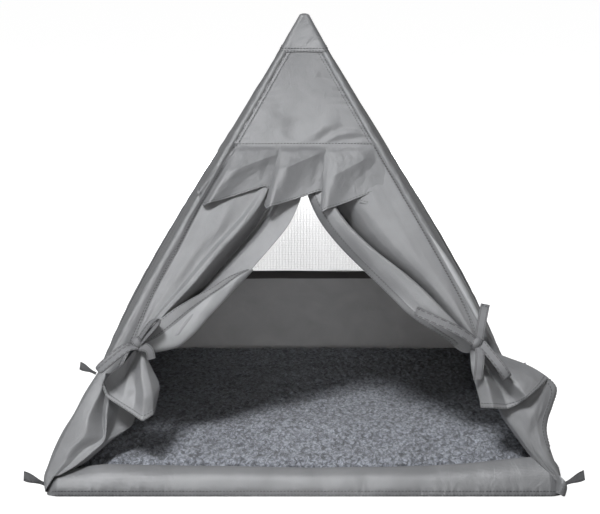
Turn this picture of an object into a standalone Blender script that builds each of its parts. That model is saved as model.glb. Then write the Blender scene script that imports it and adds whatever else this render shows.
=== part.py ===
# Pet teepee: four bowed corner poles run in sewn sleeves and meet in a hub under the apex.
# A cloth skin hangs between the sleeves, with a doorway, valance and tied curtains in front
# and a net window behind. A fleece cushion lies on the floor panel.
# Metres, +Z up, the doorway faces -Y, the origin is the middle of the floor, on the ground.
import math

import bmesh
import bpy
from mathutils import Matrix, Vector

# The tent's overall sizes, and what every neighbour keeps clear
BASE_WIDTH = 0.55
TENT_HEIGHT = 0.494
GAP = 0.0003
CLOTH = 0.0008

# Poles, the tubes that join their halves, and the sleeves that they run in
POLE_DIAMETER = 0.006
POLE_BOW = 0.014
POLE_JOINT_AT = 0.5
FERRULE_LENGTH = 0.034
FERRULE_WALL = 0.0008
FOOT_WALL = 0.0008
FOOT_HEIGHT = 0.012
SLEEVE_EASE = 0.0005

# The apex: the cap's blunt top, its cloth and corners, and the hub under it
CAP_HEIGHT = 0.041
CAP_TOP_WIDTH = 0.011
CAP_CLOTH = 0.001
CAP_CORNER = 0.0045
CAP_CREASE = 0.0015
SOCKET_DEPTH = 0.018
HUB_TOP_DROP = 0.006
HUB_FOOT_RISE = 0.002

# Floor, sill and cushion
FLOOR_THICKNESS = 0.002
FLOOR_CORNER = 0.012
SILL_HEIGHT = 0.029
SILL_THICKNESS = 0.0016
SILL_SAG = 0.002
CUSHION_CLEARANCE = 0.025
CUSHION_HEIGHT = 0.042
CUSHION_CROWN = 0.006
CUSHION_CORNER = 0.035
CUSHION_ROUNDING = 0.022
FLEECE = 0.005
UNDERSIDE = 0.001
UNDERSIDE_INSET = 0.005

# The skin, with heights measured up the slope of a face from the floor's edge
PANEL_LIFT = 0.0026
WALL_BULGE = 0.005
HEADER_AT = 0.3955
BINDING_AT = 0.157
BINDING_WIDTH = 0.0115
BINDING_THICKNESS = 0.0014
NET_PITCH = 0.027
NET_STRAND = 0.0032
NET_FRAME = 0.006

# Curtains: heights up the front face, and how far the cloth stands out of it
CURTAIN_CLOTH = 0.0014
CURTAIN_FOLDS = 4
HEADER_HEM = 0.0155
PIVOT_DROP = 0.050
PIVOT_ACROSS = 0.002
TIE_UP = 0.160
LEFT_TIE_INSET = 0.0175
RIGHT_TIE_INSET = 0.0115
BUNDLE_HALF = 0.012
BUNDLE_OUT = 0.018
FOLD_DEPTH = 0.0051
HEADER_OUT = 0.0035
LEFT_TAIL_OUT = 0.020
RIGHT_TAIL_OUT = 0.022
TAIL_LENGTH = 0.10
SKIRT_OUT = 0.0075
SKIRT_FOLD = 0.0014
SKIRT_TOP_DROP = 0.012
SKIRT_FOOT = 0.014

# Valance
VALANCE_OUT = 0.0105
VALANCE_HEM_OUT = 0.0065
VALANCE_THICKNESS = 0.0012
PLEAT_DEPTH = 0.011
PLEAT_RISE = 0.0495
VALANCE_DROP = 0.08

# Ribbon ties and webbing peg loops
RIBBON_WIDTH = 0.010
RIBBON_THICKNESS = 0.0009
RIBBON_REACH = 0.04
KNOT_SIZE = 0.014
KNOT_DEPTH = 0.0105
KNOT_ROUNDING = 0.0015
BOW_OPENING = 0.0034
RIBBON_LAYER = 0.0032
LOOP_LENGTH = 0.024
LOOP_WIDTH = 0.0085
LOOP_ROOT_WIDTH = 0.0034
LOOP_ROOT_LENGTH = 0.004
LOOP_TAPE = 0.0014
LOOP_HOLE = 0.0078
LOOP_RISE = 24.0
LOOP_FROM_CORNER = 0.017

# Each curtain's free edge from the header to its tie: across as a share of the sleeve's
# place at that height, and up as a share of the way from the tie to the curtain's top.
CURTAIN_EDGE = {
    "left": [(0.023, 1.0), (0.019, 0.84), (0.083, 0.705), (0.26, 0.54), (0.39, 0.40),
             (0.65, 0.218), (0.785, 0.114), (0.876, 0.014)],
    "right": [(0.023, 1.0), (0.028, 0.84), (0.122, 0.69), (0.216, 0.589), (0.353, 0.443),
              (0.574, 0.237), (0.772, 0.091), (0.899, 0.005)],
}
# The far edge of each tail from its tie, from the seam side round to the doorway side, in
# tail lengths.
TAIL_EDGE = {
    "left": [(0.35, -0.43), (0.30, -0.57), (0.12, -0.71), (-0.06, -0.84), (-0.17, -0.72),
             (-0.23, -0.50)],
    "right": [(0.76, -0.37), (0.82, -0.49), (0.76, -0.71), (0.66, -0.91), (0.36, -0.77),
              (0.05, -0.69)],
}
# Each skirt's drawn-up edge: across as a share of the sleeve's place, up as a share of the
# tie's height.
SKIRT_EDGE = {
    "left": [(0.96, 0.91), (0.844, 0.69), (0.782, 0.47), (0.883, 0.36), (0.957, 0.213),
             (0.995, 0.137)],
    "right": [(0.97, 0.905), (0.941, 0.733), (0.93, 0.56), (0.95, 0.40), (0.977, 0.26),
              (0.995, 0.137)],
}
# Pleat lines of the valance from its left end: across at the header and at the hem as
# shares of the sleeve's place, and how far the hem drops just right of the line and
# halfway to the next, in valance drops.
PLEATS = [
    (-0.95, -0.919, 0.92, 0.78),
    (-0.325, -0.366, 0.92, 0.79),
    (0.30, 0.158, 0.98, 0.87),
    (0.937, 0.667, 0.87, 0.955),
    (1.0, 0.985, 1.03, 1.03),
]
# Where each tie's ribbons end, from its knot: outwards from the middle, and up the face,
# in ribbon reaches.
TIE_RIBBONS = {
    "left": {
        "loop_upper": (-0.50, 0.65),
        "loop_lower": (0.95, -0.85),
        "tail_lower": (-0.48, -0.53),
    },
    "right": {
        "loop_upper": (-1.55, 0.78),
        "loop_lower": (0.75, -0.90),
        "tail_upper": (0.20, 1.05),
        "tail_lower": (-0.08, -1.00),
    },
}
SIDES = {"left": -1, "right": 1}
ENDS = {"front": -1, "rear": 1}

# Worked out from the sizes above
cushion_width = BASE_WIDTH - 2 * CUSHION_CLEARANCE
tie_inset = {"left": LEFT_TIE_INSET, "right": RIGHT_TIE_INSET}
tail_out = {"left": LEFT_TAIL_OUT, "right": RIGHT_TAIL_OUT}
pole_radius = POLE_DIAMETER / 2
ferrule_radius = pole_radius + GAP + FERRULE_WALL
sleeve_bore = ferrule_radius + SLEEVE_EASE
sleeve_radius = sleeve_bore + CLOTH
half_base = BASE_WIDTH / 2
axis_half = half_base - sleeve_radius
cap_foot = TENT_HEIGHT - CAP_HEIGHT
curtain_top = HEADER_AT - HEADER_HEM
pivot_up = curtain_top - PIVOT_DROP


def apex_of_axes():
    # The sleeves' outer sides would meet above the blunt cap, and the pole axes below that.
    sharp_top = TENT_HEIGHT * half_base / (half_base - CAP_TOP_WIDTH / 2)
    slope = math.atan2(half_base, sharp_top)
    return sharp_top - sleeve_radius / math.sin(slope)


axis_top = apex_of_axes()
lean = math.atan2(axis_half, axis_top)
edge_length = math.sqrt(2 * axis_half**2 + axis_top**2)
bow_level = axis_top / edge_length / math.sqrt(2)
bow_up = axis_half * math.sqrt(2) / edge_length
front_out = Vector((0, -math.cos(lean), math.sin(lean)))
front_up = Vector((0, math.sin(lean), math.cos(lean)))
front_foot = Vector((0, -half_base, 0))


def bow_at(t):
    # The poles bow most a third of the way up, and run straight into the hub.
    peak = 27 / 4
    return POLE_BOW * peak * t * (1 - t) ** 2


def corner_axis(sign_x, sign_y, t):
    # A pole's axis, from the floor at 0 to where all four would meet at 1.
    level = axis_half * (1 - t) + bow_level * bow_at(t)
    return Vector((sign_x * level, sign_y * level, axis_top * t + bow_up * bow_at(t)))


def corner_direction(sign_x, sign_y, t):
    step = 0.002
    ahead = corner_axis(sign_x, sign_y, t + step)
    behind = corner_axis(sign_x, sign_y, t - step)
    return (ahead - behind).normalized()


def share_where(measure, wanted):
    # The share of a corner's length at which a measure that grows up it is as wanted.
    low, high = -0.05, 1.0
    for _ in range(40):
        middle = (low + high) / 2
        if measure(corner_axis(1, -1, middle)) < wanted:
            low = middle
        else:
            high = middle
    return (low + high) / 2


def corner_share(height):
    return share_where(lambda point: point.z, height)


def face_share(up):
    return share_where(lambda point: (point - front_foot).dot(front_up), up)


def face_out(t):
    # How far the corner's axis stands out of the flat face.
    return (corner_axis(1, -1, t) - front_foot).dot(front_out)


def on_front(across, up, out):
    return front_foot + Vector((across, 0, 0)) + front_up * up + front_out * out


def sleeve_side(up):
    # How far from the middle of a face its cloth may reach beside the sleeves.
    return corner_axis(1, -1, face_share(up)).x - sleeve_radius - GAP


def panel_out(u, t, lift):
    # The cloth lies level with the sleeves' outer sides and bulges a little between them.
    bulge = WALL_BULGE * 4 * u * (1 - u) * 4 * t * (1 - t)
    return face_out(t) + lift + bulge


def up_at(height, t, lift):
    # How far up a face its cloth is when it passes this height.
    return (height - panel_out(0.5, t, lift) * math.sin(lean)) / math.cos(lean)


def smooth_step(low, high, value):
    share = max(0.0, min(1.0, (value - low) / (high - low)))
    return share * share * (3 - 2 * share)


def mix(first, second, share):
    return first + (second - first) * share


def along_curve(points, share):
    # A point on the smooth curve through hand-set points, spread evenly over 0 to 1.
    count = len(points) - 1
    place = min(max(share, 0.0), 1.0) * count
    index = min(int(place), count - 1)
    local = place - index
    near = (points[max(index - 1, 0)], points[index], points[index + 1])
    after = points[min(index + 2, count)]
    result = []
    for a, b, c, d in zip(*near, after):
        straight = 2 * b + (c - a) * local
        bend = (2 * a - 5 * b + 4 * c - d) * local**2
        turn = (3 * b - a - 3 * c + d) * local**3
        result.append((straight + bend + turn) / 2)
    return result


def make_material(name, color, roughness, metallic=0.0):
    material = bpy.data.materials.new(name)
    material.use_nodes = True
    shader = material.node_tree.nodes["Principled BSDF"]
    shader.inputs["Base Color"].default_value = (*color, 1.0)
    shader.inputs["Roughness"].default_value = roughness
    shader.inputs["Metallic"].default_value = metallic
    return material


def place_object(name, data, material, origin=(0, 0, 0)):
    item = bpy.data.objects.new(name, data)
    item.location = origin
    data.materials.append(material)
    bpy.context.scene.collection.objects.link(item)
    return item


def finish_mesh(name, shape, material, origin=(0, 0, 0), smooth_angle=40):
    # Turns a closed bmesh into an object whose origin lies at the given point.
    bmesh.ops.recalc_face_normals(shape, faces=shape.faces)
    bmesh.ops.translate(shape, verts=shape.verts, vec=-Vector(origin))
    mesh = bpy.data.meshes.new(name)
    shape.to_mesh(mesh)
    shape.free()
    mesh.shade_smooth()
    mesh.set_sharp_from_angle(angle=math.radians(smooth_angle))
    return place_object(name, mesh, material, origin)


def thicken(shape, offset):
    # Extrudes an open sheet along one direction into a closed solid.
    grown = bmesh.ops.extrude_face_region(shape, geom=list(shape.faces), use_keep_orig=True)
    moved = [item for item in grown["geom"] if isinstance(item, bmesh.types.BMVert)]
    bmesh.ops.translate(shape, verts=moved, vec=offset)


def turn_about_z(shape, quarters):
    spin = Matrix.Rotation(math.radians(90 * quarters), 4, "Z")
    bmesh.ops.transform(shape, matrix=spin, verts=shape.verts)


def unit_grid(columns, rows):
    # A grid over 0 to 1 in both directions, to be laid out by a formula.
    shape = bmesh.new()
    bmesh.ops.create_grid(shape, x_segments=columns, y_segments=rows, size=0.5)
    bmesh.ops.translate(shape, verts=shape.verts, vec=(0.5, 0.5, 0))
    return shape


def cloth_sheet(name, columns, rows, place, thickness, material, quarters=0, origin=(0, 0, 0)):
    # A sheet laid out on a face by place(u, v) and thickened out of it. quarters picks the
    # face, in quarter turns from the front.
    shape = unit_grid(columns, rows)
    for vertex in shape.verts:
        vertex.co = on_front(*place(vertex.co.x, vertex.co.y))
    thicken(shape, front_out * thickness)
    turn_about_z(shape, quarters)
    return finish_mesh(name, shape, material, origin)


def rod_along(name, points, radius, material):
    # A round rod of eight sides along the points, with closed ends.
    curve = bpy.data.curves.new(name, "CURVE")
    curve.dimensions = "3D"
    curve.bevel_depth = radius
    curve.bevel_resolution = 2
    curve.use_fill_caps = True
    spline = curve.splines.new("POLY")
    spline.points.add(len(points) - 1)
    for point, place in zip(spline.points, points):
        point.co = (*place, 1.0)
    return place_object(name, curve, material)


def tube_along(name, points, radius, wall, material):
    # The same, open at both ends and hollow.
    item = rod_along(name, points, radius, material)
    item.data.use_fill_caps = False
    skin = item.modifiers.new("wall", "SOLIDIFY")
    skin.thickness = wall
    skin.offset = -1
    skin.use_even_offset = True
    return item


def rounded_square(half, corner, height, steps=3, sides=1):
    # The points of a square with rounded corners, with extra points along each side.
    corner = min(corner, half * 0.9)
    points = []
    for quarter in range(4):
        start = quarter * math.pi / 2
        after_turn = start + math.pi / 2
        middle = Matrix.Rotation(start, 3, "Z") @ Vector((half - corner, half - corner, 0))
        after = Matrix.Rotation(after_turn, 3, "Z") @ Vector((half - corner, half - corner, 0))
        for step in range(steps + 1):
            angle = start + step / steps * math.pi / 2
            points.append(middle + Vector((math.cos(angle), math.sin(angle), 0)) * corner)
        last = points[-1]
        first = after + Vector((math.cos(after_turn), math.sin(after_turn), 0)) * corner
        points += [last.lerp(first, k / sides) for k in range(1, sides)]
    return [point + Vector((0, 0, height)) for point in points]


def bridge_rings(shape, low, high):
    count = len(low)
    for k in range(count):
        after = (k + 1) % count
        shape.faces.new((low[k], low[after], high[after], high[k]))


def add_rings(shape, rings):
    # Bridges rings of points, each with the same count, and gives back their vertices.
    loops = [[shape.verts.new(point) for point in ring] for ring in rings]
    for low, high in zip(loops, loops[1:]):
        bridge_rings(shape, low, high)
    return loops


def solid_of_rings(rings):
    shape = bmesh.new()
    loops = add_rings(shape, rings)
    shape.faces.new(loops[0])
    shape.faces.new(loops[-1])
    return shape


def shell_of_rings(outer, inner):
    # Two skins, each closed at its top, joined round their feet.
    shape = bmesh.new()
    skins = [add_rings(shape, rings) for rings in (outer, inner)]
    for loops in skins:
        shape.faces.new(loops[-1])
    bridge_rings(shape, skins[0][0], skins[1][0])
    return shape


def plate_of(outline, thickness):
    shape = bmesh.new()
    shape.faces.new([shape.verts.new(point) for point in outline])
    thicken(shape, Vector((0, 0, thickness)))
    return shape


def corner_run(signs, start, end, steps):
    return [corner_axis(*signs, mix(start, end, k / steps)) for k in range(steps + 1)]


def standing_height(radius):
    # Where a round end of this radius starts, so that its lowest edge clears the floor
    # panel although it leans.
    tilt = corner_direction(1, 1, 0).cross(Vector((0, 0, 1))).length
    return FLOOR_THICKNESS + GAP + radius * tilt


def pole_top_share():
    return corner_share(cap_foot) + SOCKET_DEPTH / edge_length


def build_poles(materials):
    foot_at = standing_height(pole_radius + GAP + FOOT_WALL)
    foot_share = corner_share(foot_at)
    low = corner_share(foot_at + FOOT_WALL + GAP)
    sleeve_foot = corner_share(standing_height(sleeve_radius))
    below, above = (POLE_JOINT_AT + side * GAP / 2 / edge_length for side in (-1, 1))
    half_ferrule = FERRULE_LENGTH / 2 / edge_length
    ferrule = (POLE_JOINT_AT - half_ferrule, POLE_JOINT_AT + half_ferrule)
    sleeve_top = corner_share(cap_foot - GAP - sleeve_radius * bow_up)
    for side, sign_x in SIDES.items():
        for end, sign_y in ENDS.items():
            signs = (sign_x, sign_y)
            place = f"{end}_{side}"
            lower = corner_run(signs, low, below, 6)
            upper = corner_run(signs, above, pole_top_share(), 5)
            rod_along(f"pole_lower_{place}", lower, pole_radius, materials["pole"])
            rod_along(f"pole_upper_{place}", upper, pole_radius, materials["pole"])
            joint = corner_run(signs, *ferrule, 1)
            metal = materials["metal"]
            tube_along(f"pole_ferrule_{place}", joint, ferrule_radius, FERRULE_WALL, metal)
            sleeve = corner_run(signs, sleeve_foot, sleeve_top, 9)
            cloth = materials["cloth"]
            tube_along(f"corner_sleeve_{place}", sleeve, sleeve_radius, CLOTH, cloth)
            build_foot(f"pole_foot_{place}", signs, foot_share, materials["rubber"])


def build_foot(name, signs, share, material):
    # A turned rubber cup, its profile run down the outer side.
    bore = pole_radius + GAP
    outer = bore + FOOT_WALL
    profile = [
        (0, FOOT_WALL),
        (bore, FOOT_WALL),
        (bore, FOOT_HEIGHT),
        (outer, FOOT_HEIGHT),
        (outer, FOOT_WALL),
        (bore, 0),
        (0, 0),
    ]
    shape = bmesh.new()
    line = [shape.verts.new((x, 0, z)) for x, z in profile]
    for first, second in zip(line, line[1:]):
        shape.edges.new((first, second))
    mesh = bpy.data.meshes.new(name)
    shape.to_mesh(mesh)
    shape.free()
    item = place_object(name, mesh, material, corner_axis(*signs, share))
    item.rotation_euler = corner_direction(*signs, share).to_track_quat("Z", "Y").to_euler()
    turn = item.modifiers.new("turn", "SCREW")
    turn.steps = 8
    turn.render_steps = 8
    turn.use_merge_vertices = True
    turn.merge_threshold = 0.0001


def cap_half(height):
    # Half the cap's outer width at a height, from its foot to its blunt top.
    foot_half = corner_axis(1, 1, corner_share(cap_foot)).x + sleeve_radius
    return mix(foot_half, CAP_TOP_WIDTH / 2, (height - cap_foot) / CAP_HEIGHT)


def cap_ring(height, inset):
    half = cap_half(height) - inset
    corner = CAP_CORNER - min(inset, CAP_CLOTH)
    return rounded_square(half, min(corner, half * 0.7), height)


def build_apex(materials):
    foot = cap_foot + GAP
    middle = cap_foot + CAP_HEIGHT / 2
    outer = [cap_ring(height, 0) for height in (foot, middle, TENT_HEIGHT - CAP_CREASE * 2)]
    outer.append(cap_ring(TENT_HEIGHT, CAP_CREASE))
    under_top = TENT_HEIGHT - CAP_CREASE * 2 - CAP_CLOTH
    inner = [cap_ring(height, CAP_CLOTH) for height in (foot, middle, under_top)]
    finish_mesh("apex_cap", shell_of_rings(outer, inner), materials["cloth"])
    build_hub(materials["plastic"])


def build_hub(material):
    # A moulded plug under the cap with a blind socket for each pole.
    reach = (cap_foot + HUB_FOOT_RISE, TENT_HEIGHT - HUB_TOP_DROP)
    rings = [cap_ring(height, CAP_CLOTH + GAP * 1.2) for height in reach]
    hub = finish_mesh("apex_hub", solid_of_rings(rings), material)
    for side, sign_x in SIDES.items():
        for end, sign_y in ENDS.items():
            tip = corner_axis(sign_x, sign_y, pole_top_share())
            along = corner_direction(sign_x, sign_y, pole_top_share() - 0.02)
            shape = bmesh.new()
            bore = pole_radius + GAP * 2
            depth = SOCKET_DEPTH * 2
            bmesh.ops.create_cone(
                shape, cap_ends=True, segments=12, radius1=bore, radius2=bore, depth=depth
            )
            turn = along.to_track_quat("Z", "Y").to_matrix().to_4x4()
            bmesh.ops.transform(shape, matrix=turn, verts=shape.verts)
            bmesh.ops.translate(shape, verts=shape.verts, vec=tip + along * (GAP - depth / 2))
            cutter = finish_mesh(f"socket_cutter_{end}_{side}", shape, material)
            cutter.hide_render = True
            cutter.display_type = "WIRE"
            cut = hub.modifiers.new("socket", "BOOLEAN")
            cut.operation = "DIFFERENCE"
            cut.solver = "EXACT"
            cut.object = cutter


def build_panel(name, low_up, high_up, quarters, rows, thickness, material, lift=PANEL_LIFT):
    # A piece of the skin between two corner sleeves.
    def place(u, v):
        up = mix(low_up, high_up, v)
        side = sleeve_side(up)
        return (mix(-side, side, u), up, panel_out(u, face_share(up), lift))

    return cloth_sheet(name, 8, rows, place, thickness, material, quarters)


def build_skin(materials):
    cloth = materials["cloth"]
    low = up_at(FLOOR_THICKNESS + GAP, 0, PANEL_LIFT)
    high = up_at(cap_foot - GAP, corner_share(cap_foot), PANEL_LIFT + CLOTH)
    build_panel("left_wall", low, high, -1, 10, CLOTH, cloth)
    build_panel("right_wall", low, high, 1, 10, CLOTH, cloth)
    build_panel("rear_lower_wall", low, BINDING_AT - GAP, 2, 5, CLOTH, cloth)
    build_panel("front_gable", HEADER_AT + GAP, high, 0, 4, CLOTH, cloth)
    binding_top = BINDING_AT + BINDING_WIDTH
    binding_lift = PANEL_LIFT - (BINDING_THICKNESS - CLOTH) / 2
    binding = ("rear_window_binding", BINDING_AT, binding_top, 2, 1, BINDING_THICKNESS)
    build_panel(*binding, materials["black"], binding_lift)
    build_net(binding_top + GAP, high, materials["net"])
    build_sill(low, cloth)


def build_sill(low, material):
    # The strip across the doorway, from sleeve to sleeve, its middle sagging a little.
    def place(u, v):
        up = mix(low, SILL_HEIGHT, v)
        side = sleeve_side(up)
        sag = SILL_SAG * math.sin(math.pi * u) * v
        return (mix(-side, side, u), up - sag, face_out(face_share(up)) + PANEL_LIFT)

    cloth_sheet("front_sill", 12, 2, place, SILL_THICKNESS, material)


def build_net(low_up, high_up, material):
    # A flat net clipped to the window: square cells cut through, with a plain edge.
    length = high_up - low_up
    foot_side = sleeve_side(low_up)
    rows = max(2, round(length / NET_PITCH))
    columns = max(2, round(2 * foot_side / NET_PITCH))
    shape = unit_grid(columns, rows)
    for vertex in shape.verts:
        across = mix(-foot_side, foot_side, vertex.co.x)
        vertex.co = Vector((across, mix(low_up, high_up, vertex.co.y), 0))
    slope = math.atan2(foot_side - sleeve_side(high_up), length)
    edges = []
    for sign in SIDES.values():
        foot = Vector((sign * foot_side, low_up, 0))
        edges.append((foot, Vector((sign * math.cos(slope), math.sin(slope), 0))))
    for foot, outward in edges:
        for inset in (NET_FRAME, 0.0):
            bmesh.ops.bisect_plane(
                shape,
                geom=shape.verts[:] + shape.edges[:] + shape.faces[:],
                plane_co=foot - outward * inset,
                plane_no=outward,
                clear_outer=inset == 0.0,
            )
    cell = 2 * foot_side / columns * length / rows
    smallest = 0.35 * cell
    holes = []
    for face in shape.faces:
        middle = face.calc_center_median()
        inside = all((middle - foot).dot(outward) < -NET_FRAME for foot, outward in edges)
        if inside and face.calc_area() > smallest:
            holes.append(face)
    bmesh.ops.inset_individual(shape, faces=holes, thickness=NET_STRAND / 2)
    bmesh.ops.delete(shape, geom=holes, context="FACES")
    for vertex in shape.verts:
        up = vertex.co.y
        side = sleeve_side(up)
        across = max(-side, min(side, vertex.co.x))
        share = (across + side) / (2 * side)
        vertex.co = on_front(across, up, panel_out(share, face_share(up), PANEL_LIFT))
    thicken(shape, front_out * CLOTH)
    turn_about_z(shape, 2)
    finish_mesh("rear_net_window", shape, material)


def build_floor(materials):
    outline = rounded_square(half_base, FLOOR_CORNER, 0, steps=4)
    finish_mesh("floor_panel", plate_of(outline, FLOOR_THICKNESS), materials["floor"])


def cushion_rings(inset, base):
    # Rings of the cushion from its foot, drawn in at the foot and the top, to its crown.
    half = cushion_width / 2 - inset
    height = CUSHION_HEIGHT - inset
    corner = CUSHION_CORNER - inset
    sides = ((0.0, 0.25), (0.35, 0.0), (0.7, 0.25), (0.9, 0.55), (1.0, 1.0))
    rings = []
    for share, drawn in sides:
        width = half - CUSHION_ROUNDING * drawn
        rings.append(rounded_square(width, corner, mix(base, height, share), 3, 4))
    for share in (0.72, 0.45, 0.2):
        width = (half - CUSHION_ROUNDING) * share
        level = height + CUSHION_CROWN * (1 - share**2)
        rings.append(rounded_square(width, corner * share, level, 3, 4))
    return rings


def build_cushion(materials):
    foot = FLOOR_THICKNESS + GAP
    base = foot + UNDERSIDE + GAP
    origin = (0, 0, foot)
    cover = shell_of_rings(cushion_rings(0, base), cushion_rings(FLEECE, base))
    finish_mesh("cushion_fleece_cover", cover, materials["fleece"], origin)
    filling = solid_of_rings(cushion_rings(FLEECE + GAP * 2, base))
    finish_mesh("cushion_filling", filling, materials["filling"], origin)
    half = cushion_width / 2 - UNDERSIDE_INSET
    under = plate_of(rounded_square(half, CUSHION_CORNER, foot, 4), UNDERSIDE)
    finish_mesh("cushion_underside", under, materials["underside"], origin)


def tie_place(side):
    return (sleeve_side(TIE_UP) - tie_inset[side], TIE_UP)


def curtain_edge(side, down):
    # The free edge's place at a share of the way from the header down to the tie.
    across_share, up_share = along_curve(CURTAIN_EDGE[side], down)
    up = mix(TIE_UP, curtain_top, up_share)
    return (across_share * sleeve_side(up), up)


def gathered_place(side, u, down):
    # Across and up of the cloth above the tie, from the corner seam to the free edge.
    free_x, free_up = curtain_edge(side, down)
    seam_up = mix(curtain_top, TIE_UP + BUNDLE_HALF, down)
    return (mix(sleeve_side(seam_up), free_x, u), mix(seam_up, free_up, u))


def curtain_place(side, u, v):
    # u runs from the corner seam to the free edge, v from the header to the tie and on to
    # the end of the tail.
    tie_share = 0.7
    if v <= tie_share:
        down = v / tie_share
        across, up = gathered_place(side, u, down)
        depth = mix(0.0006, FOLD_DEPTH, smooth_step(0.05, 1.0, down))
        seam_out = face_out(face_share(up)) + PANEL_LIFT
        level = mix(HEADER_OUT, seam_out, 0.8 * (1 - u) ** 2)
        level = mix(level, BUNDLE_OUT, smooth_step(0.35, 1.0, down))
    else:
        down = (v - tie_share) / (1 - tie_share)
        tie_x, tie_up = tie_place(side)
        reach_x, reach_up = along_curve(TAIL_EDGE[side], u)
        start_x, start_up = gathered_place(side, u, 1.0)
        across = mix(start_x, tie_x + reach_x * TAIL_LENGTH, down)
        up = mix(start_up, tie_up + reach_up * TAIL_LENGTH, down)
        depth = FOLD_DEPTH * mix(1.0, 0.6, down)
        level = mix(BUNDLE_OUT, tail_out[side], smooth_step(0, 1, down))
    wave = math.cos(2 * math.pi * CURTAIN_FOLDS * u)
    return (SIDES[side] * across, up, level + depth * wave)


def build_curtain(side, material):
    pivot = on_front(SIDES[side] * PIVOT_ACROSS, pivot_up, 0.0)

    def place(u, v):
        return curtain_place(side, u, v)

    columns = CURTAIN_FOLDS * 4
    name = f"{side}_curtain"
    cloth_sheet(name, columns, 16, place, CURTAIN_CLOTH, material, origin=pivot)


def build_skirt(side, material):
    # The curtain's sewn part below the tie, from the sleeve to its drawn-up edge.
    def place(u, v):
        across_share, up_share = along_curve(SKIRT_EDGE[side], v)
        free_up = up_share * TIE_UP
        seam_up = mix(TIE_UP - SKIRT_TOP_DROP, SKIRT_FOOT, v)
        across = mix(sleeve_side(seam_up), across_share * sleeve_side(free_up), u)
        fold = SKIRT_FOLD * math.cos(5 * math.pi * u) * math.sin(math.pi * v)
        return (SIDES[side] * across, mix(seam_up, free_up, u), SKIRT_OUT + fold)

    cloth_sheet(f"{side}_curtain_skirt", 12, 8, place, CLOTH, material)


def valance_place(share, bay, v):
    # A place in one bay between two pleat lines. The cloth steps out just past each line
    # and falls back to the next. v runs down from the header.
    first, second = PLEATS[bay], PLEATS[bay + 1]
    last_bay = bay == len(PLEATS) - 2
    if last_bay:
        drop = mix(first[2], second[2], share) * VALANCE_DROP
    elif share <= 0.5:
        drop = mix(first[2], first[3], share * 2) * VALANCE_DROP
    else:
        drop = mix(first[3] * VALANCE_DROP, PLEAT_RISE, share * 2 - 1)
    top_up = HEADER_AT - GAP
    hem_up = HEADER_AT - drop
    top_x = mix(first[0], second[0], share) * sleeve_side(top_up)
    hem_x = mix(first[1], second[1], share) * sleeve_side(hem_up)
    out = mix(VALANCE_HEM_OUT, VALANCE_OUT, min(1.0, v * 5))
    crest = 0.12
    rise = share / crest if share < crest else (1 - share) / (1 - crest)
    depth = PLEAT_DEPTH * (0.2 if last_bay else 1.0)
    out += depth * rise * smooth_step(0, 1, v)
    return (mix(top_x, hem_x, v), mix(top_up, hem_up, v), out)


def build_valance(materials):
    # Columns crowd at the pleat lines, so each bay has its own uneven spread.
    spread = (0.0, 0.12, 0.3, 0.5, 0.75)
    bays = len(PLEATS) - 1
    stops = [(bay, share) for bay in range(bays) for share in spread]
    stops.append((bays - 1, 1.0))
    shape = unit_grid(len(stops) - 1, 5)
    for vertex in shape.verts:
        bay, share = stops[round(vertex.co.x * (len(stops) - 1))]
        vertex.co = on_front(*valance_place(share, bay, vertex.co.y))
    thicken(shape, front_out * VALANCE_THICKNESS)
    hinge = on_front(0, HEADER_AT - GAP, VALANCE_HEM_OUT + VALANCE_THICKNESS)
    finish_mesh("valance", shape, materials["cloth"], hinge)


def ribbon(name, places, material):
    # A flat ribbon swept through places on the front face, its width square to its run.
    points = [on_front(*place) for place in places]
    heading = points[1] - points[0]
    across = (heading - front_out * heading.dot(front_out)).normalized().cross(front_out)
    rings = []
    for index, point in enumerate(points):
        run = points[min(index + 1, len(points) - 1)] - points[max(index - 1, 0)]
        skin = across.cross(run.normalized()).normalized() * RIBBON_THICKNESS / 2
        half = across * RIBBON_WIDTH / 2
        rings.append((point - half - skin, point + half - skin, point + half + skin,
                      point - half + skin))
    return finish_mesh(name, solid_of_rings(rings), material)


def bow_places(start, end, out):
    # Out along the back, round the end and home along the front, open in between.
    steps = 4
    back = []
    for k in range(steps + 1):
        share = k / steps * 0.94
        spot = start.lerp(end, share)
        swell = BOW_OPENING / 2 * (0.45 + 0.55 * math.sin(math.pi * min(share * 1.15, 1)))
        back.append((spot.x, spot.y, out - swell))
    front = [(x, y, 2 * out - z) for x, y, z in reversed(back)]
    return back + [(end.x, end.y, out)] + front


def build_knot(name, place, material):
    # A round barrel standing out of the face, so that each ribbon meets its side squarely.
    sides = 12
    rim = KNOT_SIZE / 2 - KNOT_ROUNDING
    straight = KNOT_DEPTH / 2 - KNOT_ROUNDING
    profile = (
        (rim, -KNOT_DEPTH / 2),
        (KNOT_SIZE / 2, -straight),
        (KNOT_SIZE / 2, straight),
        (rim, KNOT_DEPTH / 2),
    )
    across, up, out = place
    rings = []
    for radius, depth in profile:
        ring = []
        for k in range(sides):
            angle = 2 * math.pi * k / sides
            spot = (across + radius * math.cos(angle), up + radius * math.sin(angle))
            ring.append(on_front(*spot, out + depth))
        rings.append(ring)
    finish_mesh(name, solid_of_rings(rings), material)


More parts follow.
